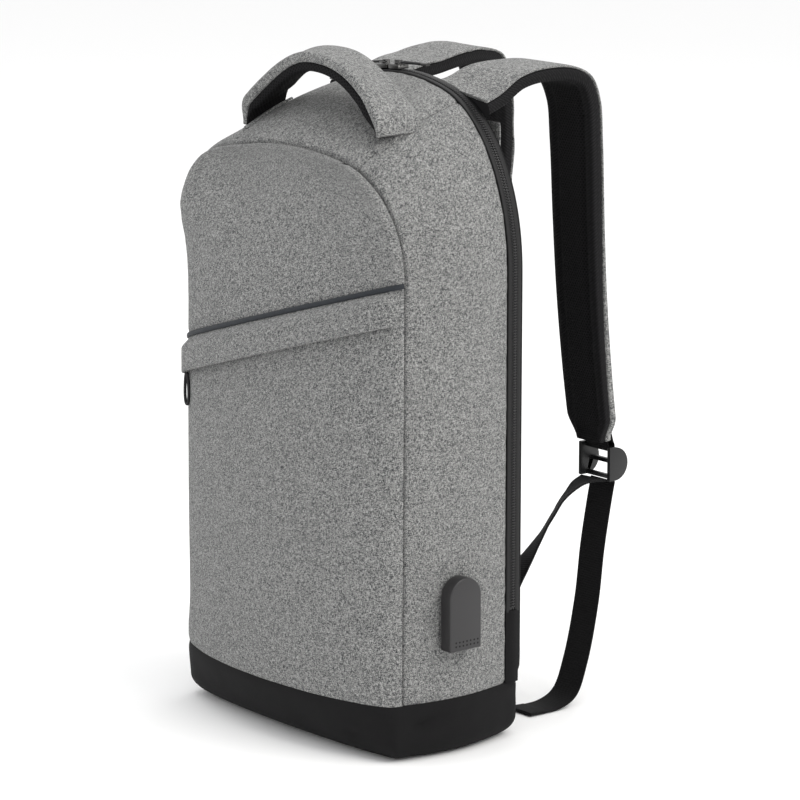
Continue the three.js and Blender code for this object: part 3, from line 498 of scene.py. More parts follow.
# ---------- materials ----------
def group(name, inputs, outputs):
    """An empty shader node group with its sockets, and its two end nodes."""
    tree = bpy.data.node_groups.new(name, "ShaderNodeTree")
    for label, (kind, value) in inputs.items():
        socket = tree.interface.new_socket(label, in_out="INPUT", socket_type=kind)
        if value is not None:
            socket.default_value = value
    for label, kind in outputs.items():
        tree.interface.new_socket(label, in_out="OUTPUT", socket_type=kind)
    return tree, tree.nodes.new("NodeGroupInput"), tree.nodes.new("NodeGroupOutput")


def feed(tree, node, values):
    """Gives a node its inputs, each a number or a socket."""
    for socket, value in zip(node.inputs, values):
        if isinstance(value, (int, float)):
            socket.default_value = value
        else:
            tree.links.new(value, socket)


def calc(tree, operation, *values):
    """A math node's result; values are numbers or sockets."""
    node = tree.nodes.new("ShaderNodeMath")
    node.operation = operation
    feed(tree, node, values)
    return node.outputs[0]


def product(tree, *values):
    """The product of two values."""
    return calc(tree, "MULTIPLY", *values)


def humps(tree, value):
    """A row of round humps, one for each whole step of a value."""
    return calc(tree, "ABSOLUTE", calc(tree, "SINE", product(tree, value, math.pi)))


def two_tone(tree, start, end, share):
    """Sends a blend of the group's Dark and Light colours to its Color output."""
    blend = tree.nodes.new("ShaderNodeMix")
    blend.data_type = "RGBA"
    for source, target in ((share, "Factor"), (start.outputs["Dark"], "A"), (start.outputs["Light"], "B")):
        tree.links.new(source, blend.inputs[target])
    tree.links.new(blend.outputs["Result"], end.inputs["Color"])


def grain(tree, x, y, z, size, detail=1.0):
    """A noise value at coordinates given as sockets or numbers."""
    place, texture = tree.nodes.new("ShaderNodeCombineXYZ"), tree.nodes.new("ShaderNodeTexNoise")
    feed(tree, place, (x, y, z))
    tree.links.new(place.outputs[0], texture.inputs["Vector"])
    texture.inputs["Scale"].default_value = size
    texture.inputs["Detail"].default_value = detail
    return texture.outputs["Fac"]


def split(tree, start):
    """A place on the cloth counted in threads, as two sockets."""
    scale, parts = tree.nodes.new("ShaderNodeVectorMath"), tree.nodes.new("ShaderNodeSeparateXYZ")
    scale.operation = "SCALE"
    tree.links.new(start.outputs["Place"], scale.inputs[0])
    tree.links.new(calc(tree, "DIVIDE", 1.0, start.outputs["Thread"]), scale.inputs["Scale"])
    tree.links.new(scale.outputs[0], parts.inputs[0])
    return parts.outputs[0], parts.outputs[1]


YARN_RUN = 0.27  # how fast a yarn changes tone along its length, per thread
VECTOR, FLOAT, COLOUR = "NodeSocketVector", "NodeSocketFloat", "NodeSocketColor"


def weave_group():
    """Plain weave of yarns whose tone changes along their length."""
    tree, start, end = group("melange_weave", {
        "Place": (VECTOR, None), "Thread": (FLOAT, 0.0007), "Light": (COLOUR, (0.6, 0.6, 0.6, 1)),
        "Dark": (COLOUR, (0.1, 0.1, 0.1, 1)), "Contrast": (FLOAT, 3.4), "Slub": (FLOAT, 0.3)},
        {"Color": COLOUR, "Height": FLOAT})
    x, y = split(tree, start)
    column, line = calc(tree, "FLOOR", x), calc(tree, "FLOOR", y)
    warp = grain(tree, product(tree, column, 13.7), product(tree, y, YARN_RUN), 0.0, 1.0)
    weft = grain(tree, product(tree, x, YARN_RUN), product(tree, line, 17.3), 5.0, 1.0)
    over = calc(tree, "FLOORED_MODULO", calc(tree, "ADD", column, line), 2.0)
    under = calc(tree, "SUBTRACT", 1.0, over)
    tone = calc(tree, "ADD", product(tree, warp, under), product(tree, weft, over))
    slub_up = grain(tree, product(tree, x, 0.45), product(tree, y, 0.03), 9.0, 1.0, 2.0)
    slub_over = grain(tree, product(tree, x, 0.03), product(tree, y, 0.45), 13.0, 1.0, 2.0)
    slub = calc(tree, "SUBTRACT", calc(tree, "ADD", slub_up, slub_over), 1.0)
    spread = product(tree, calc(tree, "SUBTRACT", tone, 0.5), start.outputs["Contrast"])
    slub_shade = product(tree, slub, start.outputs["Slub"])
    shade = calc(tree, "ADD", calc(tree, "ADD", spread, 0.42), slub_shade)
    two_tone(tree, start, end, calc(tree, "MINIMUM", calc(tree, "MAXIMUM", shade, 0.0), 1.0))
    bump = product(tree, humps(tree, x), humps(tree, y))
    tree.links.new(calc(tree, "ADD", bump, product(tree, tone, 0.6)), end.inputs["Height"])
    return tree


def rib_group():
    """Webbing or tape: ribs across the length with a finer chain of threads along them."""
    tree, start, end = group("ribbed_tape", {
        "Place": (VECTOR, None), "Thread": (FLOAT, 0.0016), "Chain": (FLOAT, 0.8), "Slant": (FLOAT, 0.0),
        "Light": (COLOUR, (0.03, 0.03, 0.03, 1)), "Dark": (COLOUR, (0.01, 0.01, 0.01, 1))},
        {"Color": COLOUR, "Height": FLOAT})
    x, y = split(tree, start)
    leaning = calc(tree, "ADD", y, product(tree, x, start.outputs["Slant"]))
    half = product(tree, calc(tree, "FLOORED_MODULO", calc(tree, "FLOOR", leaning), 2.0), 0.5)
    chain = humps(tree, product(tree, calc(tree, "ADD", x, half), start.outputs["Chain"]))
    height = product(tree, humps(tree, leaning), calc(tree, "ADD", product(tree, chain, 0.55), 0.45))
    # painted shade: the Dark colour fills the low places between ribs, the Light colour the rib tops
    two_tone(tree, start, end, height)
    tree.links.new(height, end.inputs["Height"])
    return tree


def mesh_group():
    """Spacer mesh: an even field of small open holes between raised yarns."""
    tree, start, end = group("spacer_mesh", {
        "Place": (VECTOR, None), "Thread": (FLOAT, 0.0028), "Light": (COLOUR, (0.03, 0.03, 0.03, 1)),
        "Dark": (COLOUR, (0.004, 0.004, 0.004, 1))}, {"Color": COLOUR, "Height": FLOAT})
    x, y = split(tree, start)
    tall = product(tree, y, 1.4)
    shift = product(tree, calc(tree, "FLOORED_MODULO", calc(tree, "FLOOR", tall), 2.0), 0.5)
    dx = calc(tree, "SUBTRACT", calc(tree, "FRACT", calc(tree, "ADD", x, shift)), 0.5)
    dy = product(tree, calc(tree, "SUBTRACT", calc(tree, "FRACT", tall), 0.5), 0.8)
    far = calc(tree, "SQRT", calc(tree, "ADD", product(tree, dx, dx), product(tree, dy, dy)))
    edge = tree.nodes.new("ShaderNodeMapRange")
    edge.interpolation_type = "SMOOTHSTEP"
    edge.inputs["From Min"].default_value = 0.2
    edge.inputs["From Max"].default_value = 0.36
    tree.links.new(far, edge.inputs["Value"])
    # painted shade: the holes take the Dark colour
    two_tone(tree, start, end, edge.outputs[0])
    tree.links.new(edge.outputs[0], end.inputs["Height"])
    return tree


def surface_group():
    """Moulded or metal skin: fine grain and slow changes of tone and roughness."""
    tree, start, end = group("fine_skin", {
        "Place": (VECTOR, None), "Thread": (FLOAT, 0.0004), "Base": (COLOUR, (0.05, 0.05, 0.05, 1)),
        "Rough": (FLOAT, 0.4), "Worn": (FLOAT, 0.08)}, {"Color": COLOUR, "Roughness": FLOAT, "Height": FLOAT})
    scale = tree.nodes.new("ShaderNodeVectorMath")
    scale.operation = "SCALE"
    tree.links.new(start.outputs["Place"], scale.inputs[0])
    tree.links.new(calc(tree, "DIVIDE", 1.0, start.outputs["Thread"]), scale.inputs["Scale"])
    fine, broad = tree.nodes.new("ShaderNodeTexNoise"), tree.nodes.new("ShaderNodeTexNoise")
    tree.links.new(scale.outputs[0], fine.inputs["Vector"])
    fine.inputs["Scale"].default_value = 1.0
    tree.links.new(start.outputs["Place"], broad.inputs["Vector"])
    broad.inputs["Scale"].default_value = 160.0
    change = product(tree, calc(tree, "SUBTRACT", broad.outputs["Fac"], 0.5), start.outputs["Worn"])
    tint = tree.nodes.new("ShaderNodeVectorMath")
    tint.operation = "SCALE"
    tree.links.new(start.outputs["Base"], tint.inputs[0])
    tree.links.new(calc(tree, "ADD", 1.0, product(tree, change, 3.0)), tint.inputs["Scale"])
    tree.links.new(tint.outputs[0], end.inputs["Color"])
    tree.links.new(calc(tree, "ADD", start.outputs["Rough"], change), end.inputs["Roughness"])
    tree.links.new(fine.outputs["Fac"], end.inputs["Height"])
    return tree


def cloth_material(name, kind, bump, rough=0.9, sheen=0.0, shine=0.25, metal=0.0, **values):
    """A material made from one of the shared groups. Cloth reads its piece's UV map, in metres."""
    made = {"melange_weave": weave_group, "ribbed_tape": rib_group, "spacer_mesh": mesh_group,
            "fine_skin": surface_group}
    tree = bpy.data.node_groups.get(kind) or made[kind]()
    material = bpy.data.materials.new(name)
    material.use_nodes = True
    nodes, link = material.node_tree.nodes, material.node_tree.links.new
    shader = nodes["Principled BSDF"]
    shader.inputs["Roughness"].default_value = rough
    shader.inputs["Metallic"].default_value = metal
    shader.inputs["Sheen Weight"].default_value = sheen
    shader.inputs["Specular IOR Level"].default_value = shine
    pattern, place = nodes.new("ShaderNodeGroup"), nodes.new("ShaderNodeTexCoord")
    relief = nodes.new("ShaderNodeBump")
    pattern.node_tree = tree
    link(place.outputs["Object" if kind == "fine_skin" else "UV"], pattern.inputs["Place"])
    for label, value in values.items():
        pattern.inputs[label].default_value = (*value, 1) if hasattr(value, "__len__") else value
    link(pattern.outputs["Color"], shader.inputs["Base Color"])
    if "Roughness" in pattern.outputs:
        link(pattern.outputs["Roughness"], shader.inputs["Roughness"])
    relief.inputs["Strength"].default_value = 0.8
    relief.inputs["Distance"].default_value = bump
    link(pattern.outputs["Height"], relief.inputs["Height"])
    link(relief.outputs[0], shader.inputs["Normal"])
    return material


FINISHES = {}


def finishes():
    """All materials of the bag, made once from the chosen colours."""
    if FINISHES:
        return SimpleNamespace(**FINISHES)
    c, s = bpy.context.scene.pack_colours, bpy.context.scene.pack_sizes
    light, dark, black = tuple(c.melange_light), tuple(c.melange_dark), tuple(c.black_cloth)

    def shade(share):
        return tuple(share * k for k in black)

    painted_rib_valley_shade = shade(0.45)

    def make(name, kind, bump, **more):
        FINISHES[name] = cloth_material(name, kind, bump, **more)

    make("grey_melange", "melange_weave", 0.0002, sheen=0.12, Thread=s.thread, Light=light, Dark=dark)
    make("black_polyester", "melange_weave", 0.0001, rough=0.8, shine=0.16, Thread=0.00042,
         Light=shade(1.25), Dark=shade(0.7), Contrast=1.5, Slub=0.3)
    # the ribbed tapes (zip tape, binding, webbing) take their Dark colour as painted shade between the ribs
    make("zip_tape", "ribbed_tape", 0.0001, rough=0.5, shine=0.3, Thread=0.0006, Chain=0.5,
         Light=shade(1.4), Dark=painted_rib_valley_shade)
    make("coil_nylon", "fine_skin", 0.00002, shine=0.5, Base=shade(1.5), Rough=0.3)
    # Dark here is painted shade inside the mesh's holes
    make("air_mesh", "spacer_mesh", 0.0005, shine=0.12, Thread=0.0026,
         Light=shade(1.8), Dark=shade(0.2))
    make("binding_tape", "ribbed_tape", 0.0004, rough=0.85, shine=0.16, Thread=0.0022, Chain=0.4, Slant=0.7,
         Light=shade(2.2), Dark=painted_rib_valley_shade)
    make("webbing", "ribbed_tape", 0.0003, rough=0.78, shine=0.16, Thread=0.0017, Chain=0.9,
         Light=shade(1.3), Dark=painted_rib_valley_shade)
    make("lining_cloth", "melange_weave", 0.00006, rough=0.6, sheen=0.05, Thread=0.0004,
         Light=(0.085, 0.09, 0.1), Dark=(0.05, 0.054, 0.06), Contrast=1.2, Slub=0.1)
    between = tuple(0.5 * (a + b) for a, b in zip(light, dark))
    make("grey_thread", "fine_skin", 0.00005, Base=between, Rough=0.6)
    make("black_thread", "fine_skin", 0.00005, Base=shade(1.8), Rough=0.6)
    # the piping's Dark colour is painted shade between its ribs
    make("piping_cloth", "ribbed_tape", 0.00012, rough=0.6, sheen=0.05, Thread=0.0008, Chain=0.5,
         Light=tuple(c.piping), Dark=tuple(0.6 * k for k in c.piping))
    make("black_acetal", "fine_skin", 0.00002, shine=0.4, Base=(0.009, 0.009, 0.0095), Rough=0.4)
    make("charcoal_plastic", "fine_skin", 0.00002, shine=0.5, Base=tuple(c.port), Rough=0.4, Worn=0.05)
    # near-black: painted shade of the USB housing's vent openings
    make("port_vent", "fine_skin", 0.00002, Base=(0.004, 0.004, 0.004), Rough=0.7)
    make("dull_nickel", "fine_skin", 0.00001, metal=1.0, shine=0.5, Base=(0.62, 0.6, 0.57), Rough=0.3,
         Worn=0.12)
    make("gun_metal", "fine_skin", 0.00001, metal=1.0, shine=0.5, Base=(0.11, 0.108, 0.106), Rough=0.32,
         Worn=0.1)
    make("stiff_board", "fine_skin", 0.0001, Base=(0.1, 0.1, 0.11), Rough=0.7)
    return SimpleNamespace(**FINISHES)


# ---------- pieces ----------
def seam_dip(d, deep=0.0012, reach=0.0022):
    """How far cloth sinks at a distance from a sewn seam."""
    return deep * math.exp(-((d / reach) ** 2))


def build_gusset(name, low_s, high_s, count, node):
    """A side panel or the top panel, drawn in along its seams and softly rippled."""
    m = finishes()
    lift = bpy.context.scene.pack_sizes.ripple
    stations = even(lambda s: gusset_point(s, 0.5), count, low_s, high_s)
    shares = ease_both(44)
    base = np.array([[gusset_point(s, v) for v in shares] for s in stations])
    out = grid_normals(base)
    centre = np.array([0, 0, 0.2])
    out *= np.sign((out * (base - centre)).sum(axis=2, keepdims=True))
    run = np.concatenate([[0], np.cumsum(np.linalg.norm(np.diff(base[:, 22], axis=0), axis=1))])
    deep = abs(PANEL_REAR_Y - PANEL_FRONT_Y)
    for i, along in enumerate(run):
        for j, v in enumerate(shares):
            ends = min(along, run[-1] - along)
            inside = min(v * deep, (1 - v) * deep, ends)
            fade = smooth(inside, 0, 0.02)
            p = base[i, j]
            wave = lift * (ripple(p, 0.055, 3.1) + 0.35 * ripple(p, 0.02, 7.7)) * fade
            pucker = 0.0004 * ripple((p[0], 0, p[2]), 0.006, 1.3) * math.exp(-((inside / 0.006) ** 2))
            dip = seam_dip(v * deep, 0.0024, 0.0018) + seam_dip((1 - v) * deep, 0.0009, 0.0015)
            dip += seam_dip(ends, 0.0013, 0.0016)
            base[i, j] = p + out[i, j] * (wave + pucker - dip)
    behind = base - out * WALL * 0.8
    for grid in (base, behind):
        grid[:] = [[slump(p) for p in line] for line in grid]
    obj = lattice(name, base, [m.grey_melange, m.lining_cloth], inner=behind, inner_slot=1)
    return settle(obj, "shell", [node])


def build_front(name, low_at, high_at, rows, node):
    """A front panel between two heights, wrapped round its sewn edges."""
    m = finishes()
    lift = bpy.context.scene.pack_sizes.ripple
    shares = np.sin(np.linspace(-math.pi / 2, math.pi / 2, 121))
    upper = "upper" in name
    outer, inner = [], []
    for t in (np.sin(np.linspace(0, math.pi / 2, rows)) if upper else np.linspace(0, 1, rows)):
        line, behind = [], []
        for s in shares:
            z = mix(low_at(s), high_at(s), t)
            half, swell = front_half(z), front_swell(s, z)
            d_side = (1 - abs(s)) * half
            d_top = high_at(s) - z if upper else 1.0
            inside = min(d_side, d_top)
            round_off = WALL * rounded_edge(inside, 0.0034)
            fade = smooth(inside, 0, 0.03)
            p = (s * half, SEAM_Y - swell, z)
            wave = lift * (1.3 * ripple(p, 0.075, 11.3) + 0.3 * ripple(p, 0.022, 5.9)) * fade
            pucker = 0.0004 * ripple((0, p[1], z), 0.006, 2.3) * math.exp(-((d_side / 0.006) ** 2))
            hem = seam_dip(z - low_at(s), 0.0009) + (0 if upper else seam_dip(high_at(s) - z, 0.0006))
            line.append(slump((p[0], p[1] - round_off - wave - pucker + hem, z)))
            behind.append(slump((p[0], p[1] + 0.0002, z)))
        outer.append(line)
        inner.append(behind)
    obj = lattice(name, outer, [m.grey_melange, m.lining_cloth], inner=inner, inner_slot=1)
    return settle(obj, "shell", [node])


def front_line(drop, stand, count=160, reach=1.0):
    """Points along the slanted pocket line, standing off the front."""
    pts = []
    for s in np.sin(np.linspace(-math.pi / 2, math.pi / 2, count)) * reach:
        z = slant(s, drop)
        half = front_half(z)
        off = stand * (0.25 + 0.75 * rounded_edge((1 - abs(s)) * half, 0.006))
        pts.append(slump((s * half, SEAM_Y - front_swell(s, z) - off, z)))
    return np.array(pts)


def build_pocket_trim():
    """Piping, placket and the hidden zip of the front pocket."""
    m = finishes()
    path = front_line(0, 0.0034)
    along = unit(np.gradient(path, axis=0))
    up = np.tile(np.array([0, 0, 1.0]), (len(path), 1))
    out = unit(np.cross(along, up))
    up = np.cross(out, along)
    ring = oval(PIPING.wide / 2, -0.0016, 0.0016, 16, 0.8, 0.8)
    piping = sweep("piping", path, up, out, lambda t: ring, [m.piping_cloth])
    settle(piping, "shell", ["pocket_piping"])

    outer, inner = [], []
    for t in np.concatenate([np.linspace(0, 0.12, 8), np.linspace(0.16, 1, 26)]):
        line, behind = [], []
        for s in np.sin(np.linspace(-math.pi / 2, math.pi / 2, 141)):
            z = mix(slant(s, PLACKET_HIGH), slant(s, PIPING.wide / 2 - 0.0002), t)
            half = front_half(z)
            sewn = smooth(abs(s), 0.93, 1)
            stand = mix(mix(0.0079, 0.0052, sewn), 0.0022, smooth(t, 0.72, 1))
            stand *= 1 - smooth(abs(s), 0.965, 0.999)
            low = (t * PLACKET_HIGH, 0.0016)
            body = 0.0004 + 0.0018 * rounded_edge(*low) * mix(1, 0.6, smooth(t, 0.85, 1))
            wave = 0.0005 * ripple((s * 3, 0, z), 0.04, 6.1) * (1 - sewn) * (1 - t)
            y = SEAM_Y - front_swell(s, z) - stand - wave
            x = s * (half - 0.0002)
            line.append(slump((x, y - body, z)))
            behind.append(slump((x, y, z)))
        outer.append(line)
        inner.append(behind)
    flap = lattice("placket", outer, [m.grey_melange, m.grey_melange], inner=inner, inner_slot=1)
    settle(flap, "shell", ["pocket_placket"])

    for name, node, drop, high, stand in (
            ("pocket_tape_upper", "pocket_zip_tape_upper", 0.006, 0.0042, 0.0),
            ("pocket_coil_bed", "pocket_zip_coil", POCKET_DROP, 0.0018, 0.0002),
            ("pocket_tape_lower", "pocket_zip_tape_lower", 0.016, 0.0022, 0.0)):
        path = front_line(drop, stand, 120, 0.95)
        ring = oval(high, -0.0006, 0.0006, 12, 0.5, 0.6)
        piece = sweep(name, path, np.tile([0, 0, 1.0], (len(path), 1)), np.tile([0, -1.0, 0], (len(path), 1)),
                      lambda t, r=ring: r, [m.zip_tape])
        settle(piece, "shell", [node])
    teeth = row("pocket_teeth", "coil_tooth_across_slant", [front_line(POCKET_DROP, 0.0010, 200, 0.95)],
                m.coil_nylon, Pitch=0.0014, Long=0.0009, Wide=0.0012, High=0.0036)
    settle(teeth, "shell")


def base_plan(z):
    """Outline of the base at a height, as points round it from the left front corner."""
    tuck = BAND_TUCK * (1 - z / BAND) ** 1.5 / FRONT_BULGE
    pts = [(s * FRONT.base, SEAM_Y - WALL - front_swell(s, BAND) * (1 - tuck))
           for s in np.sin(np.linspace(-math.pi / 2, math.pi / 2, 61))]
    side = [tuple(gusset_point(3, v)[:2]) for v in np.linspace(0.04, 1, 22)]
    shares = np.linspace(0, 1, 10)
    inset = np.interp(shares, *zip(*BACK_INSETS))
    side += [(REAR.base - i, mix(BACK_Y0, BACK_Y1, t)) for t, i in zip(shares, inset)]
    side += [(x, BACK_Y1) for x in np.linspace(REAR.base - 0.025, 0.004, 16)]
    return np.array(pts + side + [(-x, y) for x, y in reversed(side)])


def drawn_in(plan, inset):
    low, high = plan.min(axis=0), plan.max(axis=0)
    return (low + high) / 2 + (plan - (low + high) / 2) * (1 - 2 * inset / (high - low))


def soften(ring, rounds=3):
    """Rounds the corners of a closed ring of points."""
    for _ in range(rounds):
        ring = 0.5 * ring + 0.25 * (np.roll(ring, 1, axis=0) + np.roll(ring, -1, axis=0))
    return ring


def fold(p, a, b, deep, wide):
    """A soft fold in cloth along a line from a to b."""
    p, a, b = (np.array(v, float) for v in (p, a, b))
    t = min(max(float(np.dot(p - a, b - a) / np.dot(b - a, b - a)), 0), 1)
    ends = math.sin(math.pi * min(max(t, 0.02), 0.98)) ** 0.5
    return deep * ends * math.exp(-float(np.sum((p - a - (b - a) * t) ** 2)) / wide ** 2)


def build_base():
    """The black base cover with its rounded lower edge and folds, the bottom and the board inside."""
    m = finishes()
    profile = [(BAND_ROUND + 0.008, 0.0), (BAND_ROUND + 0.004, 0.0)]
    profile += [(BAND_ROUND * (1 - math.sin(t)), BAND_ROUND * (1 - math.cos(t)))
                for t in np.linspace(0, math.pi / 2, 10)]
    profile += [(0, z) for z in np.linspace(0.0165, BAND, 14)]
    outer, inner = [], []
    for inset, z in profile:
        plan = soften(drawn_in(base_plan(z), inset))
        behind = soften(drawn_in(base_plan(z), inset + BAND_WALL * 0.8))
        out = unit(plan - plan.mean(axis=0))
        fade = smooth(z, 0.004, 0.014) * smooth(BAND - z, 0, 0.006)
        line, lining = [], []
        for (x, y), (bx, by), n in zip(plan, behind, out):
            p = (x, y, z)
            wave = 0.0009 * ripple(p, 0.035, 4.4) + 0.0004 * ripple(p, 0.012, 8.8)
            right = (fold(p, (0.075, -0.071, 0.012), (0.112, -0.052, 0.027), -0.0034, 0.0048)
                     + fold(p, (0.088, -0.066, 0.026), (0.1225, -0.030, 0.024), -0.003, 0.0042)
                     + fold(p, (0.085, -0.069, 0.021), (0.117, -0.047, 0.0225), 0.0028, 0.005)
                     + fold(p, (0.118, -0.040, 0.022), (0.1245, -0.012, 0.030), -0.0018, 0.0045))
            dip = seam_dip(BAND - z, 0.0008)
            push = (wave + right) * fade - dip
            line.append((x + n[0] * push, y + n[1] * push, z))
            lining.append((bx + n[0] * min(push, 0), by + n[1] * min(push, 0), max(z, 0.0026)))
        outer.append(line)
        inner.append(lining)
    band = lattice("base_cover", outer, [m.black_polyester, m.lining_cloth], around=True, inner=inner,
                   inner_slot=1)
    settle(band, "shell", ["base_band"])

    rings = []
    for inset, z in ((0.001, 0.0028), (0.0, 0.0022), (0.0, 0.0006), (0.001, 0.0)):
        plan = soften(drawn_in(base_plan(0), BAND_ROUND + 0.0083 + inset))
        rings.append([(x, y, z) for x, y in plan])
    bottom = lattice("base_bottom", rings, [m.black_polyester], around=True, caps=True)
    settle(bottom, "shell", ["base_panel"])
    settle(rounded_copy("base_board", "board", m.stiff_board, 0.0006), "shell", ["base_board"])


def zip_stations(count=240):
    return even(lambda s: arch(REAR, s, ZIP_END), count, -3, 3)


def zip_run(name, ring, materials):
    """A strip round the zip line; ring holds (y, out) pairs."""
    rows = []
    for s in zip_stations():
        (x, z), n = arch(REAR, s, ZIP_END), arch_normal(REAR, s, ZIP_END)
        rows.append([(x + n[0] * d, y, z + n[1] * d) for y, d in ring])
    return lattice(name, rows, materials, around=True, caps=True)


def zip_line(y, out):
    """Points along the zip line, from just above one stop to the other."""
    pts = []
    for s in zip_stations(480):
        (x, z), n = arch(REAR, s, ZIP_END), arch_normal(REAR, s, ZIP_END)
        if z > ZIP_END + 0.002:
            pts.append((x + n[0] * out, y, z + n[1] * out))
    return pts


def band_ring(y0, y1, low, high, square=0.45):
    """Section of a tape that lies between two y places."""
    return [((y0 + y1) / 2 + a, d) for a, d in oval((y1 - y0) / 2, low, high, 18, square, 0.7)]


def build_main_zip():
    """Tapes, coil beds and coil teeth round the edge of the back panel."""
    m = finishes()
    for hand, body, tape, bed, tooth in (
            ("shell", "shell", (0.0434, 0.0472), (0.0470, 0.0488), 0.04835),
            ("back", "back", (0.0508, 0.0546), (0.0492, 0.0510), 0.04965)):
        for name, ring, material, node in (
                ("tape", band_ring(*tape, -0.0014, 0.0007), m.zip_tape, "zip_tape"),
                ("coil_bed", band_ring(*bed, -0.0016, 0.0002), m.coil_nylon, "zip_coil")):
            settle(zip_run(f"{name}_{hand}", ring, [material]), body, [f"{node}_{hand}"])
        teeth = row(f"teeth_{hand}", "coil_tooth", [zip_line(tooth, 0.0004)], m.coil_nylon,
                    Pitch=0.0019, Long=0.0013, Wide=0.0026, High=0.0022)
        settle(teeth, body)
    for hand, side in HANDS:
        rows, inner = [], []
        for z in np.linspace(BAND, ZIP_END + 0.001, 12):
            x = side * mix(REAR.base, REAR.half, (z - BAND) / (REAR.shoulder - BAND))
            ys = np.linspace(PANEL_REAR_Y, BACK_Y0, 10)
            rows.append([(x + side * 0.0012 * math.sin(math.pi * k / 9), y, z) for k, y in enumerate(ys)])
            inner.append([(x - side * 0.0022, y, z) for y in ys])
        patch = lattice(f"zip_stop_patch_{hand}", rows, [m.black_polyester], inner=inner)
        settle(patch, "shell", [f"zip_end_{hand}"])


def crown_place(pts, x):
    """Turns points made at the top of the crown round to their place along it."""
    centre, angle = REAR.top - REAR.crown, math.asin(x / REAR.crown)
    p = np.array(pts, float)
    z = p[..., 2] - centre
    turned = p.copy()
    turned[..., 0] = p[..., 0] * math.cos(angle) + z * math.sin(angle)
    turned[..., 2] = -p[..., 0] * math.sin(angle) + z * math.cos(angle) + centre
    return turned


def build_sliders():
    """The two sliders of the main zip with their cord pulls, and the pocket's slider and loop."""
    m = finishes()
    top = REAR.top + 0.0044
    for (hand, side), x in zip(HANDS, (-0.019, -0.006)):
        body = f"main_slider_{hand}"
        settle(rounded_copy(body, f"slider_{hand}", m.gun_metal, 0.0006), body, [body])
        eye = top + 0.0012
        arms = [(-0.0003, -0.0023), (-0.0003, 0.0023), (0.0052, 0.0023), (0.0052, -0.0023)]
        loop = [(side * a, ZIP_Y + b, eye) for a, b in arms]
        loop = [mix(np.array(loop[k]), np.array(loop[(k + 1) % 4]), t)
                for k in range(4) for t in (0.1, 0.5, 0.9)]
        link = closed_tube(f"pull_link_{hand}", crown_place(loop, x), 0.0005, m.gun_metal)
        body = f"main_pull_{hand}"
        settle(link, body, [body])
        cords = [(0.0046, 0.0007), (0.0052, 0.0017), (0.012, 0.0013), (0.022, 0.0011), (0.028, 0.0011)]
        near = [(side * a, ZIP_Y + b, eye + 0.0002) for a, b in cords]
        far = [(side * a, ZIP_Y - b, eye + 0.0002) for a, b in cords]
        for label, line in (("a", near), ("b", far)):
            cord = crown_place(centripetal(line, 24), x)
            cord = tube(f"pull_cord_{hand}_{label}", cord, 0.0008, [m.black_thread], 12)
            settle(cord, body)
        tip = centripetal([(side * a, ZIP_Y, eye + 0.0002) for a in (0.026, 0.029, 0.032)], 12)
        ring = oval(0.0019, -0.0011, 0.0011, 20, 0.6, 0.7)
        tip = crown_place(tip, x)
        along = unit(np.gradient(tip, axis=0))
        across = np.tile([0, 1.0, 0], (len(tip), 1))
        piece = sweep(f"pull_tip_{hand}", tip, across, np.cross(along, across), lambda t: ring, [m.gun_metal])
        settle(piece, body)
    runner = rounded_copy("pocket_slider", "pocket_runner", m.gun_metal, 0.0004)
    settle(runner, "pocket_slider", ["pocket_slider"])
    low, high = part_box("pocket_pull")
    cx, cy = (low.x + high.x) / 2, (low.y + high.y) / 2
    wide, top_z, bottom_z = 0.0032, high.z - 0.0006, low.z + 0.0012
    lean = (high.y - low.y - 0.0022) / (high.x - low.x)
    loop = []
    for a in np.linspace(0, 2 * math.pi, 36, endpoint=False):
        c, s = math.cos(a), math.sin(a)
        dx = wide * math.copysign(abs(c) ** 0.8, c) * (0.65 + 0.35 * (1 - s) / 2)
        z = (top_z + bottom_z) / 2 + (top_z - bottom_z) / 2 * s
        loop.append((cx + dx, cy - lean * dx * 0.5, z))
    loop = closed_tube("pocket_loop", np.array(loop), 0.0011, m.black_thread)
    settle(loop, "pocket_pull", ["pocket_pull"])


def closed_tube(name, path, radius, material, count=12):
    """A round bar bent into a closed ring."""
    path = np.asarray(path, float)
    along = unit(np.roll(path, -1, axis=0) - np.roll(path, 1, axis=0))
    centre = path.mean(axis=0)
    face = unit(np.cross(path[0] - centre, path[len(path) // 4] - centre))
    side = unit(np.cross(along, face))
    ring = np.linspace(0, 2 * math.pi, count, endpoint=False)
    rows = np.array([[p + s * radius * math.cos(a) + face * radius * math.sin(a) for a in ring]
                     for p, s in zip(path, side)])
    n, c = len(path), count
    faces, uvs = [], []
    for i in range(n):
        for j in range(c):
            quad = [(i, j), (i, j + 1), (i + 1, j + 1), (i + 1, j)]
            faces.append([(a % n) * c + b % c for a, b in quad])
            uvs.append([(b * radius * 0.5, a * 0.001) for a, b in quad])
    return make_piece(name, rows.reshape(-1, 3), faces, uvs, [0] * len(faces), [material])


def handle_path():
    """The underside of the handle's cover from seam to seam, with how far it leans to the back."""
    xs = np.linspace(-HANDLE.half * 0.93, HANDLE.half * 0.93, 40)
    rise = HANDLE.high - HANDLE.low
    arch_line = [(x, HANDLE.y, HANDLE.high - rise * ((x - HANDLE.apex) / HANDLE.half) ** 2) for x in xs]
    v = (HANDLE.y - PANEL_FRONT_Y) / (PANEL_REAR_Y - PANEL_FRONT_Y)
    foot = gusset_point(SEAM_S + 0.02, v, 0.0012)
    left, right = slump((-foot[0], *foot[1:])), foot
    line = np.array([left, *arch_line, right])
    fine = centripetal(line, 110)
    share = fine[:, 0] / HANDLE.half
    left, right = HANDLE.lean
    lean = [left * smooth(-s, 0, 0.75) - right * smooth(s, -0.1, 0.6) * (1 - smooth(s, 0.7, 0.98))
            for s in share]
    return fine, np.array(lean)


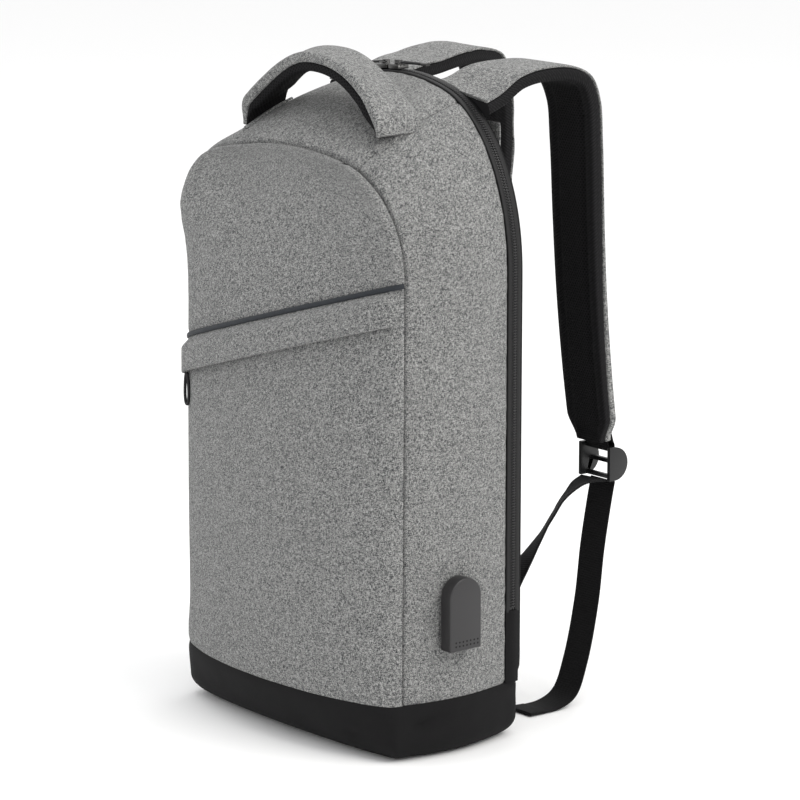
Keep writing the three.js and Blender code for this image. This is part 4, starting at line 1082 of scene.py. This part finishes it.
def build_handle():
    """The padded carry handle: grey outer cloth and black mesh inside, sewn down at both seams."""
    m = finishes()
    path, lean = handle_path()
    along = unit(np.gradient(path, axis=0))
    across = unit(np.stack([np.zeros(len(path)), np.ones(len(path)), lean], axis=1))
    up = unit(np.cross(along, across))
    up *= np.sign(up[:, 2:] + up[:, :1] * np.sign(path[:, :1]))
    half = HANDLE.wide / 2

    def outer(t):
        ends = smooth(min(t, 1 - t), 0, 0.07)
        return oval(half, mix(-0.0008, 0.0, ends), mix(0.0036, 0.0078, ends), 44, 0.2, 0.42)

    def lining(t):
        ends = smooth(min(t, 1 - t), 0, 0.12)
        return oval(half - 0.0006, mix(-0.0012, -0.0062, ends), mix(0.001, 0.0014, ends), 36, 0.3, 0.5)

    for name, ring, material, node in (("handle_cover", outer, m.grey_melange, "carry_handle"),
                                       ("handle_lining", lining, m.air_mesh, "carry_handle_mesh")):
        piece = sweep(name, path, across, up, ring, [material])
        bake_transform(piece)
        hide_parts(node)
    for hand, side in HANDS:
        spots = np.linspace(HANDLE.y - half + 0.001, HANDLE.y + half - 0.001, 20)
        grid = {}
        for layer, up_by in (("outer", 0.0018), ("inner", 0.0001)):
            rows = []
            for y in spots:
                v = (y - PANEL_FRONT_Y) / (PANEL_REAR_Y - PANEL_FRONT_Y)
                line = [gusset_point(side * (SEAM_S + a), v, up_by * (1 if abs(a) < 0.03 else 0.4))
                        for a in np.linspace(-0.035, 0.035, 9)]
                rows.append([slump(point) for point in line])
            grid[layer] = rows
        piece = lattice(f"handle_end_{hand}", grid["outer"], [m.grey_melange], inner=grid["inner"])
        settle(piece, "shell", [f"handle_anchor_{hand}"])


def outline_ring(inset, y, count=150, low=None):
    """The back panel's outline drawn in by an inset."""
    low = BACK_LOW if low is None else low
    pts = []
    for s in even(lambda s: arch(REAR, s, low), count, 3, -3):
        (x, z), n = arch(REAR, s, low), arch_normal(REAR, s, low)
        pts.append((x - n[0] * inset, y, max(z - n[1] * inset, low)))
    foot = np.linspace(pts[-1][0], pts[0][0], 42)[1:-1]
    return np.array(pts + [(x, y, low) for x in foot])


def build_back():
    """The padded back panel, its lining, the two mesh pads, the yoke and the strap tabs."""
    m = finishes()
    rows = []
    for t in np.linspace(0, 1, 9):
        inset = np.interp(t, *zip(*BACK_INSETS)) * 0.8
        rows.append(soften(outline_ring(inset, mix(BACK_Y0, BACK_Y1, math.sin(t * math.pi / 2) ** 0.8)), 2))
    rim = rows[-1]
    spine = np.stack([np.zeros(len(rim)), rim[:, 1], np.clip(rim[:, 2], *SPINE)], axis=1)
    for t in np.linspace(0, 1, 26)[1:]:
        ring = mix(rim, spine, t)
        for k, p in enumerate(ring):
            ring[k][1] += 0.0006 * ripple(p, 0.05, 2.2) * smooth(t, 0, 0.2) * (1 - t)
        rows.append(ring)
    middle = np.stack([np.zeros(len(rim)), rows[0][:, 1], np.clip(rows[0][:, 2], *SPINE)], axis=1)
    front = [mix(rows[0], middle, t) for t in np.linspace(0, 1, 6)[1:]][::-1]
    grid = np.array(front + rows)
    uv = np.concatenate([grid[..., [0, 2]], grid[:, :1][..., [0, 2]]], axis=1)
    panel = lattice("back_cover", grid, [m.black_polyester], around=True, uv=uv)
    close_spine(panel)
    settle(panel, "back", ["back_panel"])

    inside = soften(outline_ring(0.008, BACK_Y0 - 0.0016, low=BACK_LOW + 0.006), 2)
    drawn = mix(inside, np.array([0, inside[0][1], 0.23]), 0.02)
    rings = [inside + (0, 0.0012, 0), inside, drawn - (0, 0.0003, 0)]
    lining = lattice("back_inner_lining", rings, [m.lining_cloth], around=True, caps=True)
    settle(lining, "back", ["back_lining"])

    for hand, side in HANDS:
        low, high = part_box(f"back_mesh_{hand}")
        pad = pillow(f"back_pad_{hand}", low, high, m.air_mesh, channels=(0.36, 0.68))
        settle(pad, "back", [f"back_mesh_{hand}"])
        low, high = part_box(f"strap_tab_{hand}")
        tab = pillow(f"web_tab_{hand}", low, high, m.webbing, power=10)
        settle(tab, "back", [f"strap_tab_{hand}"])
        x, z, a = (low.x + high.x) / 2, (low.z + high.z) / 2, 0.010
        y = high.y + 0.0003
        square = [(x + a * i, y, z + a * k) for i, k in ((-1, -1), (1, -1), (1, 1), (-1, 1), (-1, -1))]
        lines = [square, [square[0], square[2]], [square[3], square[1]]]
        stitch = row(f"tab_stitch_{hand}", "stitch_line", lines, m.black_thread, Pitch=0.0026, Long=0.002,
                     Wide=0.0006, High=0.0006)
        settle(stitch, "back")
    columns = even(lambda s: arch(REAR, s), 80, -1.16, 1.16)
    outer, inner = [], []
    for t in np.linspace(0, 1, 15):
        inset = np.interp(t, *zip(*BACK_INSETS)) * 0.8
        y = mix(BACK_Y0 + 0.0003, BACK_Y1 + 0.0018, math.sin(min(t / 0.7, 1) * math.pi / 2))
        line, under = [], []
        for s in columns:
            (x, z), n = arch(REAR, s), arch_normal(REAR, s)
            top = z - n[1] * (inset - 0.0018)
            drop = smooth(t, 0.6, 1) * (top - 0.4195)
            lift = 0.0005 * ripple((x, y, z), 0.02, 4.9)
            line.append((x - n[0] * (inset - 0.0018), y + lift, top - drop))
            low_by = 0.0014 * (1 - smooth(t, 0.4, 0.8))
            under.append((x - n[0] * (inset - 0.0004), y - 0.0014, top - drop - low_by))
        outer.append(line)
        inner.append(under)
    settle(lattice("yoke_top", outer, [m.grey_melange], inner=inner), "back")
    low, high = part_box("strap_yoke")
    settle(pillow("yoke_cover", low, high, m.grey_melange, power=12), "back", ["strap_yoke"])
    y = high.y + 0.0002
    lines = [[(low.x + 0.004, y, z), (high.x - 0.004, y, z)] for z in (low.z + 0.004, high.z - 0.004)]
    stitch = row("yoke_stitch", "stitch_line", lines, m.grey_thread, Pitch=0.0032, Long=0.0024, Wide=0.0006,
                 High=0.0005)
    settle(stitch, "back")


def close_spine(obj):
    """Merges the points that lie on one another and drops faces without area."""
    bm = bmesh.new()
    bm.from_mesh(obj.data)
    bmesh.ops.remove_doubles(bm, verts=bm.verts, dist=5e-5)
    bmesh.ops.dissolve_degenerate(bm, dist=1e-6, edges=bm.edges)
    holes = [e for e in bm.edges if e.is_boundary]
    if holes:
        bmesh.ops.holes_fill(bm, edges=holes, sides=0)
    bmesh.ops.recalc_face_normals(bm, faces=bm.faces)
    for f in bm.faces:
        f.smooth = True
    bm.to_mesh(obj.data)
    bm.free()


def pillow(name, low, high, material, power=6, channels=()):
    """A soft flat pad between two corners, facing +Y, with channels sewn across at shares of its height."""
    n, cols = 70, 30
    size = high - low
    outer, inner = [], []
    for i in range(n + 1):
        t = ease_both(n)[i]
        line, behind = [], []
        for j in range(cols + 1):
            s = ease_both(cols)[j]
            a, b = abs(2 * s - 1), abs(2 * t - 1)
            round_x = 1 - 0.06 * (b ** 8) * (0.03 / size.x)
            edge = min((1 - a) * size.x / 2, (1 - b) * size.z / 2)
            puff = rounded_edge(edge, size.y * 0.9)
            crown = 0.72 + 0.28 * (1 - a ** 2) * (1 - b ** power)
            groove = sum(math.exp(-((t - c) * size.z / 0.004) ** 2) for c in channels) * 0.7
            x, z = low.x + size.x * (0.5 + (s - 0.5) * round_x), low.z + size.z * t
            deep = size.y * puff * crown * (1 - groove * smooth(1 - a, 0, 0.06))
            line.append((x, low.y + max(deep, 0.0003), z))
            behind.append((x, low.y - 0.0002, z))
        outer.append(line)
        inner.append(behind)
    return lattice(name, outer, [material], inner=inner)


def strap_width(t):
    return mix(0.060, 0.048, t / 0.35) if t < 0.35 else mix(0.048, 0.042, (t - 0.35) / 0.65)


def cover_deep(t):
    """How deep the grey cover reaches down the strap's edge: thin at the shoulder, more near the buckle."""
    return mix(0.0021, 0.0062, smooth(t, 0.45, 0.95))


def strap_frames(side, count=110):
    """The strap's outer line with its side and outward directions, from inside the yoke to the buckle."""
    root = ((0.055, 0.0528, 0.4418),)
    path = centripetal(hang(side, root + STRAP_LINE), count)
    along = unit(np.gradient(path, axis=0))
    out = unit(np.stack([np.zeros(len(path)), -along[:, 2], along[:, 1]], axis=1))
    share = np.linspace(0, 1, len(path))
    droop = 0.14 * (1 - np.clip(share / 0.16, 0, 1)) ** 1.5
    across = unit(np.stack([np.full(len(path), float(side)), np.zeros(len(path)), -droop], axis=1))
    if side < 0:
        path[:, 2] -= 0.005 * np.exp(-((share - 0.13) / 0.09) ** 2)
        path[:, 1] += 0.009 * np.exp(-((share - 0.48) / 0.2) ** 2)
    return path, across, out


def build_straps():
    """Padded shoulder straps: grey outer cloth, black spacer mesh inside with a ribbed border."""
    m = finishes()
    for hand, side in HANDS:
        path, across, out = strap_frames(side)
        creased = side < 0

        def outer(t):
            half = strap_width(t) / 2 - 0.0008 * (1 - smooth(t, 0.4, 0.9))
            taper = smooth(t, 0.95, 1) * 0.008
            crease = 0.0008 * ripple((t * 3, 0, side), 0.05, 3.3) if creased else 0.0
            return oval(half - taper, crease - cover_deep(t), 0.0, 44, 0.28, 0.45)

        def inner_layer(t):
            half = strap_width(t) / 2 - 0.0003
            taper = smooth(t, 0.95, 1) * 0.008
            ring = oval(half - taper, -0.0116, 0.0011 - cover_deep(t), 48, 0.28, 0.5)
            edge = half - taper - 0.0085
            return [(a, d + 0.0011 * math.exp(-((abs(a) - edge) / 0.0012) ** 2) if d < -0.008 else d)
                    for a, d in ring]

        grid = np.array([[p + s * a + u * d for a, d in outer(k / 110)]
                         for k, (p, s, u) in enumerate(zip(path, across, out))])
        if creased:
            for i in range(len(grid)):
                for j in range(grid.shape[1]):
                    grid[i, j] += out[i] * 0.0012 * ripple(grid[i, j], 0.018, 9.4)
        cover = lattice(f"strap_cover_{hand}", grid, [m.grey_melange], around=True, caps=True)
        rings = [inner_layer(k / 110) for k in range(111)]

        def border(i, j):
            a, d = rings[i][j]
            return 1 if abs(a) > strap_width(i / 110) / 2 - 0.0095 else 0

        grid = [[p + s * a + u * d for a, d in r] for p, s, u, r in zip(path, across, out, rings)]
        lining = lattice(f"strap_lining_{hand}", grid, [m.air_mesh, m.binding_tape], around=True, caps=True,
                         pick=border)
        for piece, node, slot in ((cover, "strap_pad", "grey_melange"), (lining, "strap_mesh", "air_mesh")):
            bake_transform(piece)
            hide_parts(f"{node}_{hand}")
        lock = rounded_copy(f"ladder_lock_{hand}", f"buckle_{hand}", m.black_acetal, 0.0008)
        settle(lock, f"lock_{hand}", [f"ladder_lock_{hand}"])
        settle(lock_loop(hand, side, m), f"strap_{hand}")


def lock_loop(hand, side, m):
    """The short webbing loop that ties the strap's end to the buckle's top bar."""
    line = hang(side, [(0.076, y, z) for y, z in (
        (0.1645, 0.196), (0.1668, 0.188), (0.1682, 0.184), (0.1665, 0.1805), (0.1638, 0.1815),
        (0.1622, 0.186), (0.1608, 0.194))])
    path = centripetal(line, 30)
    along = unit(np.gradient(path, axis=0))
    across = np.tile([1.0, 0, 0], (len(path), 1))
    ring = oval(0.0122, -0.0006, 0.0006, 20, 0.25, 0.6)
    return sweep(f"buckle_loop_{hand}", path, across, np.cross(along, across), lambda t: ring, [m.webbing])


def build_webbing():
    """The free tails that hang from the buckles, and the lower runs back to the bag."""
    m = finishes()
    for hand, side in HANDS:
        path = centripetal(hang(side, TAIL_LINE), 120)
        along = unit(np.gradient(path, axis=0))
        across = np.tile([1.0, 0, 0], (len(path), 1))

        def section(t):
            hem = smooth(t, 0.925, 0.932) * 0.0004
            return oval(WEB_WIDE / 2, -WEB_THICK / 2 - hem, WEB_THICK / 2 + hem, 36, 0.2, 0.5)

        tail = sweep(f"tail_{hand}", path, across, np.cross(along, across), section, [m.webbing])
        settle(tail, f"tail_{hand}", [f"webbing_tail_{hand}"])
        path = centripetal(hang(side, LOWER_LINE), 80)
        turn = np.array(LOWER_ACROSS, float)
        turn[:, 1:] *= side
        shares, knots = np.linspace(0, 1, 81), np.linspace(0, 1, 8)
        across = np.stack([np.interp(shares, knots, turn[:, c]) for c in range(3)], axis=1)
        along = unit(np.gradient(path, axis=0))
        across = unit(across - along * (along * across).sum(axis=1, keepdims=True))
        ring = oval(WEB_WIDE / 2, -WEB_THICK / 2, WEB_THICK / 2, 36, 0.2, 0.5)
        lower = sweep(f"lower_web_{hand}", path, across, np.cross(along, across), lambda t: ring, [m.webbing])
        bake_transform(lower)
        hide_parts(f"webbing_lower_{hand}")


def build_port():
    """The USB housing with its row of vents, the metal socket and the clamping plate."""
    m = finishes()
    for node, name, material, width, segments, slot in (
            ("usb_housing", "port_housing", m.charcoal_plastic, 0.0009, 4, "charcoal_plastic"),
            ("usb_receptacle", "port_socket", m.dull_nickel, 0.0001, 1, "nickel"),
            ("usb_plate", "port_plate", m.black_acetal, 0.0005, 3, "black_plastic")):
        settle(rounded_copy(node, name, material, width, segments), "shell", [node])
    low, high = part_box("usb_housing")
    mid = (low.y + high.y) / 2
    # the vents are near-black marks on the housing: painted shade standing in for the openings
    lines = [[(high.x - 0.0001, mid + y, low.z + z) for y in (-0.0085, 0.0105)] for z in (0.0035, 0.0062)]
    vents = row("port_vents", "vent_row", lines, m.port_vent, Pitch=0.0028, Long=0.0015, Wide=0.0007,
                High=0.0015)
    settle(vents, "shell")


def build_inside():
    """What shows when the back panel opens: pocket wall, laptop sleeve and its retaining strap."""
    m = finishes()
    wall = rounded_copy("front_pocket_wall", "pocket_lining", m.lining_cloth, 0.0003, 2)
    settle(wall, "shell", ["front_pocket_wall"])
    sleeve = rounded_copy("laptop_sleeve", "sleeve_cover", m.lining_cloth, 0.0012)
    settle(sleeve, "back", ["laptop_sleeve"])
    band = rounded_copy("sleeve_strap", "sleeve_band", m.black_polyester, 0.0005)
    settle(band, "back", ["sleeve_strap"])


# ---------- the stage ----------
BAG_MIDDLE = (0, 0, 0.2)
CAMERA_PLACE, CAMERA_TARGET = (2.122, -1.682, 0.8005), (0.0218, 0.0276, 0.225)
FLOOR_HALF, FLOOR_Z = 9, -0.0004


def look_at(obj, target):
    obj.rotation_mode = "QUATERNION"
    obj.rotation_quaternion = (Vector(target) - obj.location).to_track_quat("-Z", "Y")


def area_light(name, azimuth, elevation, distance, size, power, colour):
    a, e = math.radians(azimuth), math.radians(elevation)
    data = bpy.data.lights.new(name, "AREA")
    data.shape, data.size, data.energy, data.color = "DISK", size, power, colour
    obj = bpy.data.objects.new(name, data)
    toward = Vector((math.sin(a) * math.cos(e), -math.cos(a) * math.cos(e), math.sin(e)))
    obj.location = Vector(BAG_MIDDLE) + distance * toward
    look_at(obj, BAG_MIDDLE)
    bpy.context.scene.collection.objects.link(obj)
    return obj


def build_stage():
    """Camera, floor and soft studio lights."""
    scene, s = bpy.context.scene, bpy.context.scene.pack_stage
    data = bpy.data.cameras.new("camera")
    data.lens, data.sensor_width = s.lens, 36
    camera = bpy.data.objects.new("camera", data)
    camera.location = CAMERA_PLACE
    look_at(camera, CAMERA_TARGET)
    scene.collection.objects.link(camera)
    scene.camera = camera
    area_light("key", 108, 42, 2.6, 1.8, s.key, (1.0, 0.985, 0.955))
    area_light("fill", -25, 24, 3.0, 2.4, s.fill, (0.95, 0.975, 1.0))
    area_light("top", 20, 84, 2.8, 2.2, s.top, (1, 1, 1))
    area_light("rim", 205, 40, 2.8, 1.6, s.rim, (1, 1, 1))
    world = bpy.data.worlds.new("world")
    world.use_nodes = True
    world.node_tree.nodes["Background"].inputs["Color"].default_value = (1, 1, 1, 1)
    world.node_tree.nodes["Background"].inputs["Strength"].default_value = s.world
    scene.world = world
    scene.view_settings.view_transform = "Standard"
    mesh = bpy.data.meshes.new("floor")
    corners = [(x * FLOOR_HALF, y * FLOOR_HALF, FLOOR_Z) for x, y in ((-1, -1), (1, -1), (1, 1), (-1, 1))]
    mesh.from_pydata(corners, [], [(0, 1, 2, 3)])
    floor = bpy.data.objects.new("floor", mesh)
    material = bpy.data.materials.new("floor_paper")
    material.use_nodes = True
    shader = material.node_tree.nodes["Principled BSDF"]
    shader.inputs["Base Color"].default_value = (0.93, 0.93, 0.93, 1)
    shader.inputs["Roughness"].default_value = 0.9
    mesh.materials.append(material)
    scene.collection.objects.link(floor)


# ---------- add-on ----------
def property_group(name, doc, kind, rows, **common):
    """A PropertyGroup class with one property for each (key, label, description, value)."""
    fields = {key: kind(name=label, description=text, default=value, **common)
              for key, label, text, value in rows}
    return type(name, (PropertyGroup,), {"__doc__": doc, "__annotations__": fields})


PackSizes = property_group("PackSizes", "Sizes of the cloth", FloatProperty, (
    ("thread", "Thread", "Pitch of the melange cloth's threads", 0.00056),
    ("ripple", "Ripple", "How far the cloth swells and sinks", 0.0009)), unit="LENGTH")
PackColours = property_group("PackColours", "Colours of the bag", FloatVectorProperty, (
    ("melange_light", "Light yarn", "Light yarn of the grey cloth", (0.385, 0.385, 0.374)),
    ("melange_dark", "Dark yarn", "Dark yarn of the grey cloth", (0.036, 0.038, 0.041)),
    ("black_cloth", "Black cloth", "Base cover, tapes and webbing", (0.0068, 0.0066, 0.0071)),
    ("piping", "Piping", "Strip along the pocket", (0.02, 0.024, 0.03)),
    ("port", "Port", "Plastic of the USB housing", (0.0165, 0.0155, 0.0165))), subtype="COLOR")
PackStage = property_group("PackStage", "Camera and lights", FloatProperty, (
    ("lens", "Lens", "Focal length of the camera in millimetres", 180),
    ("key", "Key", "Power of the key light in watts", 32),
    ("fill", "Fill", "Power of the fill light in watts", 6),
    ("top", "Top", "Power of the top light in watts", 18),
    ("rim", "Rim", "Power of the rim light in watts", 6),
    ("world", "World", "Strength of the white surroundings", 1.0)))


def operator(idname, label, doc, work):
    """An Operator class that does one piece of work."""
    def execute(self, context):
        work()
        return {"FINISHED"}
    return type("PACK_OT_" + idname, (Operator,), {
        "bl_idname": "pack." + idname, "bl_label": label, "__doc__": doc, "execute": execute})


def build_body():
    """Side, top and front panels."""
    step = 0.0015
    build_gusset("side_left", -SEAM_S - step, -3, 190, "gusset_left")
    build_gusset("side_right", SEAM_S + step, 3, 190, "gusset_right")
    build_gusset("top_panel", -SEAM_S + step, SEAM_S - step, 90, "gusset_top")
    above = -PIPING.wide / 2 - 0.0001
    build_front("front_upper", lambda s: slant(s, above), front_top, 80, "front_panel_upper")
    under = lambda s: slant(s, 0.0181)
    build_front("front_pocket", lambda s: BAND + 0.0002, under, 110, "front_pocket_panel")


OPERATORS = [operator(*row_) for row_ in (
    ("stage", "Stage", "Camera, floor and lights", build_stage),
    ("webbing", "Webbing", "Free tails and lower runs of the harness", build_webbing),
    ("body", "Body", "Grey side, top and front panels", build_body),
    ("pocket_trim", "Pocket trim", "Piping, placket and zip of the front pocket", build_pocket_trim),
    ("base", "Base", "Black base cover, bottom and board", build_base),
    ("main_zip", "Main zip", "Tapes, coil and teeth round the back panel", build_main_zip),
    ("sliders", "Sliders", "Zip sliders and their pulls", build_sliders),
    ("handle", "Handle", "Padded carry handle", build_handle),
    ("back", "Back", "Back panel, pads, yoke and tabs", build_back),
    ("straps", "Straps", "Shoulder straps and buckles", build_straps),
    ("port", "Port", "USB housing, socket and plate", build_port),
    ("inside", "Inside", "Pocket wall, laptop sleeve and its strap", build_inside),
)]


class PACK_PT_panel(Panel):
    """Sizes, colours and one button for each piece of the bag"""
    bl_label = "Laptop Backpack"
    bl_space_type = "VIEW_3D"
    bl_region_type = "UI"
    bl_category = "Backpack"

    def draw(self, context):
        for settings in (context.scene.pack_sizes, context.scene.pack_colours, context.scene.pack_stage):
            box = self.layout.box()
            for name in settings.__annotations__:
                box.prop(settings, name)
        for kind in OPERATORS:
            self.layout.operator(kind.bl_idname)


SETTINGS = {"pack_sizes": PackSizes, "pack_colours": PackColours, "pack_stage": PackStage}
CLASSES = [*SETTINGS.values(), *OPERATORS, PACK_PT_panel]


def register():
    for kind in CLASSES:
        bpy.utils.register_class(kind)
    for name, kind in SETTINGS.items():
        setattr(bpy.types.Scene, name, PointerProperty(type=kind))


def unregister():
    for name in SETTINGS:
        delattr(bpy.types.Scene, name)
    for kind in reversed(CLASSES):
        bpy.utils.unregister_class(kind)


def main():
    """Builds the whole bag and writes how large it came out."""
    register()
    for kind in OPERATORS:
        getattr(bpy.ops.pack, kind.bl_idname.split(".")[1])()


if __name__ == "__main__":
    main()
